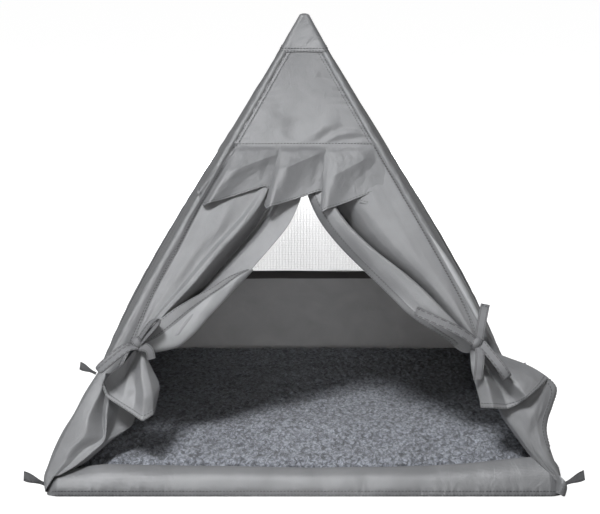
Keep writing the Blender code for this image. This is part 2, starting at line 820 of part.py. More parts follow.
def build_tie(side, material):
    sign = SIDES[side]
    tie_x, tie_up = tie_place(side)
    bundle_front = BUNDLE_OUT + FOLD_DEPTH + CURTAIN_CLOTH
    knot_out = bundle_front + GAP + KNOT_DEPTH / 2
    build_knot(f"{side}_tie_knot", (sign * tie_x, tie_up, knot_out), material)
    knot = Vector((sign * tie_x, tie_up))
    for part_name, (reach_x, reach_up) in TIE_RIBBONS[side].items():
        reach = Vector((sign * reach_x, reach_up)) * RIBBON_REACH
        start = knot + reach.normalized() * (KNOT_SIZE / 2 + GAP)
        end = knot + reach
        if part_name.startswith("loop"):
            places = bow_places(start, end, knot_out)
        else:
            spots = [start.lerp(end, k / 3) for k in range(4)]
            places = [(spot.x, spot.y, knot_out - RIBBON_LAYER) for spot in spots]
        ribbon(f"{side}_tie_{part_name}", places, material)


def build_peg_loop(name, sign_x, sign_y, material):
    # A teardrop of webbing standing on edge, narrow at the seam and wide at its tip.
    count = 14
    inner = []
    outer = []
    for k in range(count):
        angle = 2 * math.pi * k / count
        reach = (1 - math.cos(angle)) / 2
        swell = math.sin(angle) * mix(0.35, 1.0, reach)
        inner.append((mix(LOOP_ROOT_LENGTH, LOOP_LENGTH - LOOP_TAPE, reach), swell * LOOP_HOLE / 2))
        outer.append((LOOP_LENGTH * reach, swell * (LOOP_HOLE / 2 + LOOP_TAPE * 1.1)))
    shape = bmesh.new()
    loops = [[shape.verts.new((x, y, 0)) for x, y in ring] for ring in (inner, outer)]
    bridge_rings(shape, *loops)
    thicken(shape, Vector((0, 0, 1)))
    slope = math.tan(math.radians(LOOP_RISE))
    for vertex in shape.verts:
        tall = mix(LOOP_ROOT_WIDTH, LOOP_WIDTH, vertex.co.x / LOOP_LENGTH)
        vertex.co.z = (vertex.co.z - 0.5) * tall + vertex.co.x * slope
        vertex.co.x *= sign_x
    root_y = sign_y * (half_base - LOOP_FROM_CORNER)
    root = Vector((sign_x * (half_base + GAP), root_y, LOOP_ROOT_WIDTH / 2 + GAP))
    bmesh.ops.translate(shape, verts=shape.verts, vec=root)
    finish_mesh(name, shape, material, root)


def main():
    for item in list(bpy.data.objects):
        bpy.data.objects.remove(item, do_unlink=True)
    materials = {
        "cloth": make_material("grey coated polyester", (0.27, 0.275, 0.285), 0.45),
        "floor": make_material("floor cloth", (0.2, 0.2, 0.21), 0.6),
        "net": make_material("white polyester net", (0.85, 0.85, 0.86), 0.6),
        "black": make_material("black binding tape", (0.012, 0.01, 0.01), 0.7),
        "fleece": make_material("blue grey curly fleece", (0.2, 0.22, 0.27), 0.95),
        "filling": make_material("polyester filling", (0.85, 0.85, 0.83), 0.95),
        "underside": make_material("cushion underside cloth", (0.12, 0.12, 0.13), 0.8),
        "ribbon": make_material("grey ribbon", (0.22, 0.22, 0.23), 0.55),
        "webbing": make_material("grey webbing", (0.2, 0.2, 0.21), 0.65),
        "pole": make_material("fibreglass pole", (0.75, 0.74, 0.68), 0.35),
        "metal": make_material("aluminium ferrule", (0.75, 0.76, 0.78), 0.3, 1.0),
        "rubber": make_material("black rubber foot", (0.02, 0.02, 0.02), 0.8),
        "plastic": make_material("black moulded hub", (0.03, 0.03, 0.03), 0.4),
    }
    build_floor(materials)
    build_poles(materials)
    build_apex(materials)
    build_skin(materials)
    build_cushion(materials)
    build_valance(materials)
    for side, sign_x in SIDES.items():
        build_curtain(side, materials["cloth"])
        build_skirt(side, materials["cloth"])
        build_tie(side, materials["ribbon"])
        for end, sign_y in ENDS.items():
            build_peg_loop(f"peg_loop_{end}_{side}", sign_x, sign_y, materials["webbing"])


main()
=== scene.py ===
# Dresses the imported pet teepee: cloth, net, fleece, ribbons and stitching, then floor,
# lights and camera. Lengths are metres; the doorway faces -Y.
import math

import bpy
from mathutils import Matrix, Vector, noise


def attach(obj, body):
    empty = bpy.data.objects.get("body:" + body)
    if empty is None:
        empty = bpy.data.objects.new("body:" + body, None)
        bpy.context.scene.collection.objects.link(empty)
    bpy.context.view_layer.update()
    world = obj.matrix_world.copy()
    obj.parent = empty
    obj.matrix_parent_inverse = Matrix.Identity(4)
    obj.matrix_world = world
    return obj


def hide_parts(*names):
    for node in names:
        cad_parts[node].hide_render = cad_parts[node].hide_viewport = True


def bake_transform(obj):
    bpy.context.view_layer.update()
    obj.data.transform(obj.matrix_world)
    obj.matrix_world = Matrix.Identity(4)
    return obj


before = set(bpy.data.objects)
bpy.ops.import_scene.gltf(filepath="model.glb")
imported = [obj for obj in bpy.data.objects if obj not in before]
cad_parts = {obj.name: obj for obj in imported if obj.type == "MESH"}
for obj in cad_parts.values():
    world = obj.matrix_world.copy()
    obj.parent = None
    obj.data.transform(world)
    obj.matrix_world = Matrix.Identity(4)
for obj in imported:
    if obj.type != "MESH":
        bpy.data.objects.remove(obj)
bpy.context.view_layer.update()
bpy.ops.object.select_all(action="DESELECT")
print("frame loaded:", len(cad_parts), "nodes")

tent = {
    "base": 0.55,
    "height": 0.494,
    "capHeight": 0.041,
    "capTop": 0.011,
    "sleeveRadius": 0.0054,
    "poleBow": 0.014,
    "panelLift": 0.0026,
    "wallBulge": 0.0015,
    "clothRest": 0.0012,
    "clothThickness": 0.0006,
    "headerUp": 0.3955,
    "curtainTop": 0.380,
    "curtainTurned": 0.310,
    "rearTop": 0.1575,
}
halfBase = tent["base"] / 2
axisHalf = halfBase - tent["sleeveRadius"]
sharpTop = tent["height"] * halfBase / (halfBase - tent["capTop"] / 2)
axisTop = sharpTop - tent["sleeveRadius"] / math.sin(math.atan2(halfBase, sharpTop))
lean = math.atan2(axisHalf, axisTop)
edgeLength = math.sqrt(2 * axisHalf**2 + axisTop**2)
bowLevel = axisTop / edgeLength / math.sqrt(2)
bowUp = axisHalf * math.sqrt(2) / edgeLength
capFoot = tent["height"] - tent["capHeight"]
frontOut = Vector((0, -math.cos(lean), math.sin(lean)))
frontUp = Vector((0, math.sin(lean), math.cos(lean)))
frontFoot = Vector((0, -halfBase, 0))
faceTurns = {
    name: Matrix.Rotation(math.radians(90 * quarters), 3, "Z")
    for name, quarters in {"front": 0, "right": 1, "rear": 2, "left": -1}.items()
}
sideSign = {"left": -1, "right": 1}
endSign = {"front": -1, "rear": 1}


def mix(first, second, share):
    return first + (second - first) * share


def smoothStep(low, high, value):
    share = max(0.0, min(1.0, (value - low) / (high - low)))
    return share * share * (3 - 2 * share)


def cornerAxis(signX, signY, t):
    # a pole's axis from the floor at 0 to the apex at 1, bowed most a third of the way up
    bow = tent["poleBow"] * 6.75 * t * (1 - t) ** 2
    level = axisHalf * (1 - t) + bowLevel * bow
    return Vector((signX * level, signY * level, axisTop * t + bowUp * bow))


shareTable = []
for tableStep in range(401):
    tableShare = -0.05 + 1.05 * tableStep / 400
    tablePoint = cornerAxis(1, -1, tableShare)
    shareTable.append((tableShare, tablePoint.z, (tablePoint - frontFoot).dot(frontUp)))


def shareBy(column, wanted):
    # the share of a corner's length at a height (column 1) or a height up a face (column 2)
    low, high = 0, len(shareTable) - 1
    while high - low > 1:
        middle = (low + high) // 2
        if shareTable[middle][column] < wanted:
            low = middle
        else:
            high = middle
    below, above = shareTable[low], shareTable[high]
    part = (wanted - below[column]) / (above[column] - below[column])
    return mix(below[0], above[0], part)


def faceShare(up):
    return shareBy(2, up)


def faceOut(t):
    return (cornerAxis(1, -1, t) - frontFoot).dot(frontOut)


def sleeveSide(up):
    return cornerAxis(1, -1, faceShare(up)).x - tent["sleeveRadius"]


def onFace(face, across, up, out):
    point = frontFoot + Vector((across, 0, 0)) + frontUp * up + frontOut * out
    return faceTurns[face] @ point


def onGround(point):
    # cloth that reaches down to the floor lies on it
    return Vector((point.x, point.y, max(point.z, tent["clothRest"])))


def panelOut(u, t):
    bulge = tent["wallBulge"] * 4 * u * (1 - u) * 4 * t * (1 - t)
    return faceOut(t) + tent["panelLift"] + bulge


def alongCurve(points, share):
    # a point on the smooth curve through hand-set points
    count = len(points) - 1
    place = min(max(share, 0.0), 1.0) * count
    index = min(int(place), count - 1)
    t = place - index
    before, after = points[max(index - 1, 0)], points[min(index + 2, count)]
    values = []
    for a, b, c, d in zip(before, points[index], points[index + 1], after):
        bend, twist = 2 * a - 5 * b + 4 * c - d, 3 * b - a - 3 * c + d
        values.append((2 * b + (c - a) * t + bend * t * t + twist * t**3) / 2)
    return values


def tableValue(table, share):
    return alongCurve([(value,) for value in table], share)[0]


def softNoise(x, y, seed=0.0):
    return noise.noise(Vector((x + seed * 7.31, y - seed * 3.17, seed * 1.7)))


def longWrinkles(x, y, angle, length, width, seed=0.0):
    # ridges that run along one direction, longer than they are wide
    cosine, sine = math.cos(angle), math.sin(angle)
    along = (x * cosine + y * sine) / length
    across = (-x * sine + y * cosine) / width
    bent = across + 0.5 * softNoise(along * 1.3, across * 0.35, seed + 5)
    return softNoise(along, bent, seed)


def creaseHeight(x, y, creases):
    # given creases: from, to, half width, height; each fades toward its ends
    total = 0.0
    for (x1, y1), (x2, y2), width, height in creases:
        dx, dy = x2 - x1, y2 - y1
        length = math.hypot(dx, dy)
        along = ((x - x1) * dx + (y - y1) * dy) / (length * length)
        if -0.15 < along < 1.15:
            off = ((x - x1) * dy - (y - y1) * dx) / length
            fade = smoothStep(-0.15, 0.25, along) * (1 - smoothStep(0.75, 1.15, along))
            total += height * fade * math.exp(-((off / width) ** 2))
    return total


def addMesh(name, points, faces, uvOf=None):
    # a new piece; uvOf(index, point) says where a vertex lies on its flat cloth
    mesh = bpy.data.meshes.new(name)
    mesh.from_pydata(points, [], faces)
    if uvOf:
        layer = mesh.uv_layers.new(name="cloth")
        for loop in mesh.loops:
            index = loop.vertex_index
            layer.data[loop.index].uv = uvOf(index, mesh.vertices[index].co)
    piece = bpy.data.objects.new(name, mesh)
    bpy.context.scene.collection.objects.link(piece)
    return piece


def rowUv(stride, columns, rows, flat):
    # where vertices that are stored row by row lie on the flat cloth, in metres
    def uvOf(index, point):
        row, column = divmod(index, stride)
        return (column / columns * flat[0], row / rows * flat[1])

    return uvOf


def gridFaces(columns, rows, flip=False):
    faces = []
    for r in range(rows):
        for c in range(columns):
            first = r * (columns + 1) + c
            corners = (first, first + 1, first + columns + 2, first + columns + 1)
            faces.append(corners[::-1] if flip else corners)
    return faces


def tubeFaces(rings, sides, base=0, openFoot=False):
    # the wall through rings of points that follow each other, closed at its ends
    faces = []
    for ring in range(rings - 1):
        for side in range(sides):
            first = base + ring * sides + side
            after = base + ring * sides + (side + 1) % sides
            faces.append((first, after, after + sides, first + sides))
    if not openFoot:
        faces.append(tuple(base + side for side in reversed(range(sides))))
    last = base + (rings - 1) * sides
    faces.append(tuple(range(last, last + sides)))
    return faces


def gridMesh(name, columns, rows, place, flat, flip=False):
    # a sheet laid out by place(u, v); flip turns it over
    points = [place(c / columns, r / rows) for r in range(rows + 1) for c in range(columns + 1)]
    faces = gridFaces(columns, rows, flip)
    return addMesh(name, points, faces, rowUv(columns + 1, columns, rows, flat))


def makeActive(piece):
    bpy.ops.object.select_all(action="DESELECT")
    piece.select_set(True)
    bpy.context.view_layer.objects.active = piece


def applyModifiers(piece):
    makeActive(piece)
    for modifier in list(piece.modifiers):
        bpy.ops.object.modifier_apply(modifier=modifier.name)
    piece.select_set(False)


def thickenSheet(piece, thickness, inner):
    # gives the sheet its cloth thickness; inner picks the material slot of its back
    skin = piece.modifiers.new("thickness", "SOLIDIFY")
    skin.thickness = thickness
    skin.offset = 0
    skin.material_offset = inner
    applyModifiers(piece)


def weldSeam(piece):
    # joins the two edges of a sheet that is wound round once
    weld = piece.modifiers.new("weld", "WELD")
    weld.merge_threshold = 0.00005
    applyModifiers(piece)


def smoothPiece(piece, angle):
    piece.data.shade_smooth()
    makeActive(piece)
    bpy.ops.object.shade_smooth_by_angle(angle=math.radians(angle))
    piece.select_set(False)


def carry(piece, body):
    # curtain pieces are only baked in place; the header and turned-over levels are worked out but
    # not used. Other pieces are attached to their body
    if body in ("left_curtain", "right_curtain"):
        places = (onFace("front", 0, tent[level], 0) for level in ("curtainTop", "curtainTurned"))
        top, turned = (tuple(place) for place in places)
        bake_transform(piece)
        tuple(top)
        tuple(turned)
    else:
        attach(piece, body)


def dress(piece, body, materials, nodes=()):
    for material in materials:
        piece.data.materials.append(material)
    carry(piece, body)
    if nodes:
        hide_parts(*nodes)


def finishSheet(piece, thickness, angle, body, materials, nodes=()):
    # a sheet's thickness, smoothing, body and look; a second material is its back
    thickenSheet(piece, thickness, len(materials) - 1)
    smoothPiece(piece, angle)
    dress(piece, body, materials, nodes)
    return piece


def surfaceAt(place, u, v, lift=0.0):
    # a point lifted off a sheet along its normal, and that normal
    step = 0.004
    alongU = place(min(u + step, 1), v) - place(max(u - step, 0), v)
    alongV = place(u, min(v + step, 1)) - place(u, max(v - step, 0))
    normal = alongU.cross(alongV).normalized()
    return place(u, v) + normal * lift, normal


def bandOn(place, railA, railB, lift):
    # a narrow sheet's place function: it lies on another sheet between two rails of (u, v)
    def bandPlace(u, v):
        first, second = railA(v), railB(v)
        spot = (mix(first[0], second[0], u), mix(first[1], second[1], u))
        crown = lift * (0.55 + 0.45 * min(1.0, 8 * u, 8 * (1 - u)))
        return surfaceAt(place, *spot, crown)[0]

    return bandPlace


stitchSize = {
    "length": 0.0024,
    "gap": 0.0012,
    "radius": 0.00040,
    "flatness": 0.8,
    "sides": 5,
    "profile": ((-0.5, 0.35), (-0.32, 1.0), (0.32, 1.0), (0.5, 0.35)),
}
stitchStore = {}


def sewAlong(body, place, rail, lift, steps=60):
    # lays a row of stitches along a rail of (u, v) on a sheet
    points = []
    for step in range(steps + 1):
        points.append(surfaceAt(place, *rail(step / steps), lift))
    sewPoints(body, points)


def sewPoints(body, points):
    pitch = stitchSize["length"] + stitchSize["gap"]
    store = stitchStore.setdefault(body, [])
    travelled = 0.0
    due = pitch / 2
    for (start, normal), (end, nextNormal) in zip(points, points[1:]):
        length = (end - start).length
        while due <= travelled + length:
            share = (due - travelled) / length
            direction = (end - start).normalized()
            store.append((start.lerp(end, share), direction, normal.lerp(nextNormal, share)))
            due += pitch
        travelled += length


def makeStitches(body, material):
    points, faces = [], []
    sides, profile = stitchSize["sides"], stitchSize["profile"]
    for centre, direction, normal in stitchStore[body]:
        across = direction.cross(normal).normalized()
        upward = across.cross(direction).normalized()
        faces += tubeFaces(len(profile), sides, len(points))
        for along, width in profile:
            reach = stitchSize["radius"] * width
            for side in range(sides):
                angle = 2 * math.pi * side / sides
                points.append(
                    centre
                    + direction * along * stitchSize["length"]
                    + across * math.cos(angle) * reach
                    + upward * math.sin(angle) * reach * stitchSize["flatness"]
                )
    piece = addMesh("stitching_" + body, points, faces)
    piece.data.shade_smooth()
    dress(piece, body, [material])
    return len(stitchStore[body])


# Materials: effects shared by several finishes are node groups
def newGroup(name, setting, value, outputs):
    # a group that takes a vector and one number and gives numbers
    group = bpy.data.node_groups.new(name, "ShaderNodeTree")
    group.interface.new_socket("Vector", in_out="INPUT", socket_type="NodeSocketVector")
    number = group.interface.new_socket(setting, in_out="INPUT", socket_type="NodeSocketFloat")
    number.default_value = value
    for output in outputs:
        group.interface.new_socket(output, in_out="OUTPUT", socket_type="NodeSocketFloat")
    start = group.nodes.new("NodeGroupInput")
    return group, start.outputs["Vector"], start.outputs[setting]


def setInputs(tree, node, inputs):
    # each input is a value, or the socket that feeds it
    for key, value in inputs.items():
        if isinstance(value, bpy.types.NodeSocket):
            tree.links.new(value, node.inputs[key])
        else:
            node.inputs[key].default_value = value


def addNode(tree, kind, settings=None, inputs=None):
    node = tree.nodes.new(kind)
    for key, value in (settings or {}).items():
        setattr(node, key, value)
    setInputs(tree, node, inputs or {})
    return node


def mathNode(tree, operation, *values):
    settings = {"operation": operation}
    return addNode(tree, "ShaderNodeMath", settings, dict(enumerate(values))).outputs[0]


def noiseNode(tree, vector, scale, detail, roughness=0.5, distortion=0.0):
    inputs = {"Vector": vector, "Scale": scale, "Detail": detail}
    inputs.update({"Roughness": roughness, "Distortion": distortion})
    return addNode(tree, "ShaderNodeTexNoise", {"noise_dimensions": "3D"}, inputs)


def stretchNode(tree, vector, scale, turn=(0, 0, 0)):
    inputs = {"Vector": vector, "Scale": scale, "Rotation": turn}
    return addNode(tree, "ShaderNodeMapping", inputs=inputs).outputs[0]


def bumpNode(tree, height, strength, distance):
    inputs = {"Height": height, "Strength": strength, "Distance": distance}
    return addNode(tree, "ShaderNodeBump", inputs=inputs).outputs[0]


def rampNode(tree, amount, low, high, between=()):
    # a colour ramp; low, high and those between are each a position and a colour
    ramp = addNode(tree, "ShaderNodeValToRGB", inputs={"Fac": amount})
    elements = ramp.color_ramp.elements
    for element, (position, colour) in zip(elements, (low, high)):
        element.position = position
        element.color = (*colour, 1)
    for position, colour in between:
        elements.new(position).color = (*colour, 1)
    return ramp.outputs[0]


def multiplyNode(tree, amount, first, second):
    # two colours multiplied; a mix node's colours are its inputs 6 and 7
    settings = {"data_type": "RGBA", "blend_type": "MULTIPLY"}
    inputs = {0: amount, 6: first, 7: second}
    return addNode(tree, "ShaderNodeMix", settings, inputs).outputs[2]


def groupNode(tree, group, inputs):
    return addNode(tree, "ShaderNodeGroup", {"node_tree": group}, inputs).outputs


def startMaterial(name):
    material = bpy.data.materials.new(name)
    material.use_nodes = True
    tree = material.node_tree
    return material, tree, tree.nodes["Principled BSDF"]


def objectSpace(tree):
    return addNode(tree, "ShaderNodeTexCoord").outputs["Object"]


def buildWeaveGroup():
    # over-and-under threads: a height, and how deep between the threads a point lies
    group, vector, pitch = newGroup("plainWeave", "Pitch", 0.0008, ("Height", "Between"))
    parts = addNode(group, "ShaderNodeSeparateXYZ", inputs={0: vector}).outputs
    turns = mathNode(group, "DIVIDE", math.pi, pitch)
    waves = []
    for axis in ("X", "Y"):
        waves.append(mathNode(group, "SINE", mathNode(group, "MULTIPLY", parts[axis], turns)))
    height = mathNode(group, "ABSOLUTE", mathNode(group, "MULTIPLY", *waves))
    between = mathNode(group, "SUBTRACT", 1.0, height)
    addNode(group, "NodeGroupOutput", inputs={"Height": height, "Between": between})
    return group


def buildCreaseGroup():
    # handling marks: long soft ripples with finer ones across them
    group, vector, size = newGroup("handlingCreases", "Size", 30.0, ("Height", "Patches"))
    broad = noiseNode(group, vector, size, 3.0, 0.5, 0.6).outputs["Fac"]
    stretched = stretchNode(group, vector, (1.0, 0.35, 0.6), (0.3, 0.2, 0.7))
    fineSize = mathNode(group, "MULTIPLY", size, 3.1)
    fine = noiseNode(group, stretched, fineSize, 4.0, 0.55, 1.2).outputs["Fac"]
    ridged = mathNode(group, "ABSOLUTE", mathNode(group, "SUBTRACT", fine, 0.5))
    total = mathNode(group, "MULTIPLY_ADD", ridged, 0.8, broad)
    addNode(group, "NodeGroupOutput", inputs={"Height": total, "Patches": broad})
    return group


def buildSpeckGroup():
    # fine irregular grain for fibres, rubber and moulded plastic
    group, vector, scale = newGroup("fineGrain", "Scale", 900.0, ("Grain",))
    grain = noiseNode(group, vector, scale, 5.0, 0.65).outputs["Fac"]
    addNode(group, "NodeGroupOutput", inputs={"Grain": grain})
    return group


weaveGroup = buildWeaveGroup()
creaseGroup = buildCreaseGroup()
grainGroup = buildSpeckGroup()

tapeSewing = {"inset": 0.0016, "half": 0.00045, "turns": 2300.0, "rim": 0.0005}


def addEdgeStitching(tree, cloth, colour, width):
    # a dashed dark line of sewing along both edges of a narrow tape, and a painted shade line
    # along its very rim
    parts = addNode(tree, "ShaderNodeSeparateXYZ", inputs={0: cloth}).outputs
    far = mathNode(tree, "SUBTRACT", width, parts["X"])
    near = mathNode(tree, "MINIMUM", parts["X"], far)
    line = mathNode(tree, "COMPARE", near, tapeSewing["inset"], tapeSewing["half"])
    wave = mathNode(tree, "SINE", mathNode(tree, "MULTIPLY", parts["Y"], tapeSewing["turns"]))
    dashes = mathNode(tree, "GREATER_THAN", wave, -0.5)
    # painted shade: a dark line along the tape's rim stands in for the shade at its edges
    rim = mathNode(tree, "LESS_THAN", near, tapeSewing["rim"])
    amount = mathNode(tree, "MAXIMUM", mathNode(tree, "MULTIPLY", line, dashes), rim)
    amount = mathNode(tree, "MULTIPLY", amount, 0.9)
    return multiplyNode(tree, amount, colour, (0.14, 0.14, 0.145, 1))


def clothMaterial(name, base, **changes):
    # a woven cloth: weave and handling creases in the bump; soft patches and painted shade between
    # the threads in the colour
    look = dict(base, **changes)
    material, tree, shader = startMaterial(name)
    cloth = addNode(tree, "ShaderNodeUVMap", {"uv_map": "cloth"}).outputs[0]
    place = objectSpace(tree)
    weave = groupNode(tree, weaveGroup, {"Vector": cloth, "Pitch": look["pitch"]})
    crease = groupNode(tree, creaseGroup, {"Vector": place, "Size": look["creaseSize"]})
    grain = groupNode(tree, grainGroup, {"Vector": place, "Scale": look["grainScale"]})["Grain"]
    colour = rampNode(tree, crease["Patches"], (0.3, look["dark"]), (0.7, look["light"]))
    # painted shade: the colour darkens between the threads, where the weave's recesses lie in
    # shade
    depth = mathNode(tree, "MULTIPLY", weave["Between"], look["threadShade"])
    colour = multiplyNode(tree, depth, colour, (0.35, 0.35, 0.37, 1))
    if "edges" in look:
        colour = addEdgeStitching(tree, cloth, colour, look["edges"])
    threads = mathNode(tree, "MULTIPLY", weave["Height"], look["weaveDepth"])
    relief = mathNode(tree, "MULTIPLY_ADD", crease["Height"], look["creaseDepth"], threads)
    spread, rough = look["roughSpread"], look["roughness"]
    setInputs(tree, shader, {
        "Base Color": colour,
        "Roughness": mathNode(tree, "MULTIPLY_ADD", grain, spread, rough),
        "Normal": bumpNode(tree, relief, look["bump"], 0.001),
        "Sheen Weight": look["sheen"],
        "Sheen Roughness": 0.45,
        "Specular IOR Level": look["specular"],
        "Subsurface Weight": look["through"],
        "Subsurface Radius": (0.006, 0.0058, 0.0057),
        "Subsurface Scale": 1.0,
    })
    return material


def grainMaterial(name, look):
    # rigid parts: a fine grain in colour, roughness and bump
    material, tree, shader = startMaterial(name)
    inputs = {"Vector": objectSpace(tree), "Scale": look["scale"]}
    grain = groupNode(tree, grainGroup, inputs)["Grain"]
    spread, rough = look["roughSpread"], look["roughness"]
    setInputs(tree, shader, {
        "Base Color": rampNode(tree, grain, (0.35, look["dark"]), (0.65, look["light"])),
        "Roughness": mathNode(tree, "MULTIPLY_ADD", grain, spread, rough),
        "Normal": bumpNode(tree, grain, look["bump"], 0.0005),
        "Metallic": look.get("metallic", 0.0),
    })
    return material


outerLook = {
    "dark": (0.185, 0.186, 0.192), "light": (0.225, 0.226, 0.232), "pitch": 0.00095,
    "threadShade": 0.16, "creaseSize": 26.0, "creaseDepth": 1.1, "weaveDepth": 0.14, "bump": 0.6,
    "grainScale": 500.0, "roughness": 0.31, "roughSpread": 0.14, "sheen": 0.12, "specular": 0.85,
    "through": 0.12,
}
innerLook = dict(
    outerLook, dark=(0.29, 0.284, 0.28), light=(0.35, 0.342, 0.338), roughness=0.5, sheen=0.2,
    specular=0.4, through=0.35,
)
ribbonLook = dict(
    outerLook, edges=0.010, dark=(0.18, 0.18, 0.187), light=(0.23, 0.23, 0.237), pitch=0.0007,
    threadShade=0.3, weaveDepth=0.2, roughness=0.5, creaseDepth=0.4, creaseSize=60.0,
)
netLook = dict(
    outerLook, dark=(0.70, 0.702, 0.705), light=(0.78, 0.782, 0.785), pitch=0.0006,
    threadShade=0.1, roughness=0.7, specular=0.3, creaseDepth=0.2, through=0.05,
)
threadLook = {
    "dark": (0.07, 0.07, 0.074), "light": (0.12, 0.12, 0.125), "scale": 2500.0,
    "roughness": 0.6, "roughSpread": 0.2, "bump": 0.3,
}
fillingLook = {
    "dark": (0.7, 0.7, 0.68), "light": (0.85, 0.85, 0.83), "scale": 300.0,
    "roughness": 0.85, "roughSpread": 0.1, "bump": 0.6,
}

outerCloth = clothMaterial("coatedCloth", outerLook)
# painted shade: the hems wear a darker copy of the coated cloth, standing in for the shade on the
# doubled hem bands
shadedHemCloth = clothMaterial(
    "coatedClothHemPaintedShade", outerLook, dark=(0.16, 0.161, 0.166), light=(0.205, 0.206, 0.212),
)
# painted light: the curtains, their tails, hems and skirts wear a lighter copy of the coated
# cloth, standing in for the light falling on them
litCurtainCloth = clothMaterial(
    "coatedClothCurtainPaintedLight", outerLook, dark=(0.215, 0.216, 0.222), light=(0.262, 0.263, 0.27),
)
innerCloth = clothMaterial("coatedClothInside", innerLook)
lapelCloth = clothMaterial(
    "coatedClothLapel", outerLook, dark=(0.30, 0.303, 0.31), light=(0.36, 0.363, 0.37),
)
stripCloth = clothMaterial(
    "coatedClothBacklit", outerLook, dark=(0.40, 0.405, 0.415), light=(0.47, 0.475, 0.485),
)
# painted light: the rear wall's inside wears a much lighter copy of the inside cloth, standing in
# for the light that shines through it; its subsurface setting lets real light through as well
litRearCloth = clothMaterial(
    "coatedClothRearInsidePaintedLight", innerLook, dark=(0.60, 0.59, 0.588), light=(0.66, 0.65, 0.648),
    through=0.5,
)
floorCloth = clothMaterial(
    "floorCloth", outerLook, dark=(0.15, 0.15, 0.155), light=(0.2, 0.2, 0.205), roughness=0.6,
)
bindingTape = clothMaterial(
    "blackBindingTape", outerLook, dark=(0.010, 0.008, 0.008), light=(0.02, 0.017, 0.016),
    pitch=0.0016, threadShade=0.3, weaveDepth=0.25, roughness=0.7, creaseDepth=0.3,
)
ribbonCloth = clothMaterial("tieRibbon", ribbonLook)
webbing = clothMaterial(
    "pegLoopWebbing", ribbonLook, edges=0.0105, dark=(0.075, 0.075, 0.08),
    light=(0.115, 0.115, 0.12), pitch=0.0011, weaveDepth=0.4,
)
underCloth = clothMaterial(
    "cushionUnderside", outerLook, dark=(0.10, 0.10, 0.105), light=(0.14, 0.14, 0.145),
    pitch=0.0012, roughness=0.8,
)
fineNet = clothMaterial("whiteNetFine", netLook)
gridNet = clothMaterial(
    "whiteNetGrid", netLook, dark=(0.78, 0.782, 0.785), light=(0.84, 0.842, 0.845),
)
sewingThread = grainMaterial("sewingThread", threadLook)
fillingFibre = grainMaterial("fillingFibre", fillingLook)

fleeceLook = {
    "curlScale": 290.0, "strandScale": 480.0, "wobbleScale": 150.0, "wobble": 0.012, "nap": 0.4,
    "deep": (0.08, 0.086, 0.10), "mid": (0.28, 0.295, 0.335), "tip": (0.60, 0.63, 0.72),
    "patchScale": 45.0, "patch": (0.55, 0.55, 0.57),
}


def fleeceMaterial(look):
    # curly pile: cell-like curls, with painted shade in the gaps between them
    material, tree, shader = startMaterial("curlyFleece")
    place = objectSpace(tree)
    wobble = noiseNode(tree, place, look["wobbleScale"], 2.0).outputs["Color"]
    mixing = {0: look["wobble"], 4: place, 5: wobble}
    bent = addNode(tree, "ShaderNodeMix", {"data_type": "VECTOR"}, mixing).outputs[1]
    nap = stretchNode(tree, bent, (1.0, look["nap"], 1.0))
    cells = {"Vector": nap, "Scale": look["curlScale"]}
    curls = addNode(tree, "ShaderNodeTexVoronoi", {"feature": "F1"}, cells)
    strands = noiseNode(tree, nap, look["strandScale"], 4.0, 0.7, 1.5).outputs["Fac"]
    patches = noiseNode(tree, place, look["patchScale"], 3.0).outputs["Fac"]
    tops = mathNode(tree, "SUBTRACT", 1.0, curls.outputs["Distance"])
    pile = mathNode(tree, "MULTIPLY_ADD", strands, 0.7, mathNode(tree, "MULTIPLY", tops, 0.55))
    # painted shade: the colour darkens from the curl tips into the gaps between the curls
    shade = rampNode(tree, pile, (0.45, look["deep"]), (0.95, look["tip"]), [(0.66, look["mid"])])
    patchShade = rampNode(tree, patches, (0.35, look["patch"]), (0.65, (1, 1, 1)))
    setInputs(tree, shader, {
        "Base Color": multiplyNode(tree, 0.5, shade, patchShade),
        "Normal": bumpNode(tree, pile, 1.0, 0.0025),
        "Roughness": mathNode(tree, "MULTIPLY_ADD", strands, 0.1, 0.85),
        "Sheen Weight": 0.25,
        "Sheen Roughness": 0.6,
    })
    return material


curlyFleece = fleeceMaterial(fleeceLook)

# the hidden rigid parts: their looks, and which nodes wear them
rigidLooks = {
    "pole": {
        "dark": (0.70, 0.69, 0.62), "light": (0.8, 0.79, 0.73), "scale": 400.0,
        "roughness": 0.3, "roughSpread": 0.15, "bump": 0.1,
    },
    "ferrule": {
        "dark": (0.6, 0.61, 0.63), "light": (0.8, 0.81, 0.83), "scale": 900.0,
        "roughness": 0.25, "roughSpread": 0.2, "bump": 0.1, "metallic": 1.0,
    },
    "foot": {
        "dark": (0.015, 0.015, 0.015), "light": (0.03, 0.03, 0.03), "scale": 1200.0,
        "roughness": 0.7, "roughSpread": 0.2, "bump": 0.3,
    },
    "hub": {
        "dark": (0.02, 0.02, 0.021), "light": (0.04, 0.04, 0.042), "scale": 1500.0,
        "roughness": 0.4, "roughSpread": 0.2, "bump": 0.3,
    },
}
rigidNodes = {
    "pole_lower": "pole",
    "pole_upper": "pole",
    "pole_ferrule": "ferrule",
    "pole_foot": "foot",
    "apex_hub": "hub",
}
for nodeName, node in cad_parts.items():
    for prefix, lookName in rigidNodes.items():
        if nodeName.startswith(prefix):
            finish = lookName + "Finish"
            made = bpy.data.materials.get(finish)
            node.data.materials.clear()
            node.data.materials.append(made or grainMaterial(finish, rigidLooks[lookName]))
print("materials made:", len(bpy.data.materials))


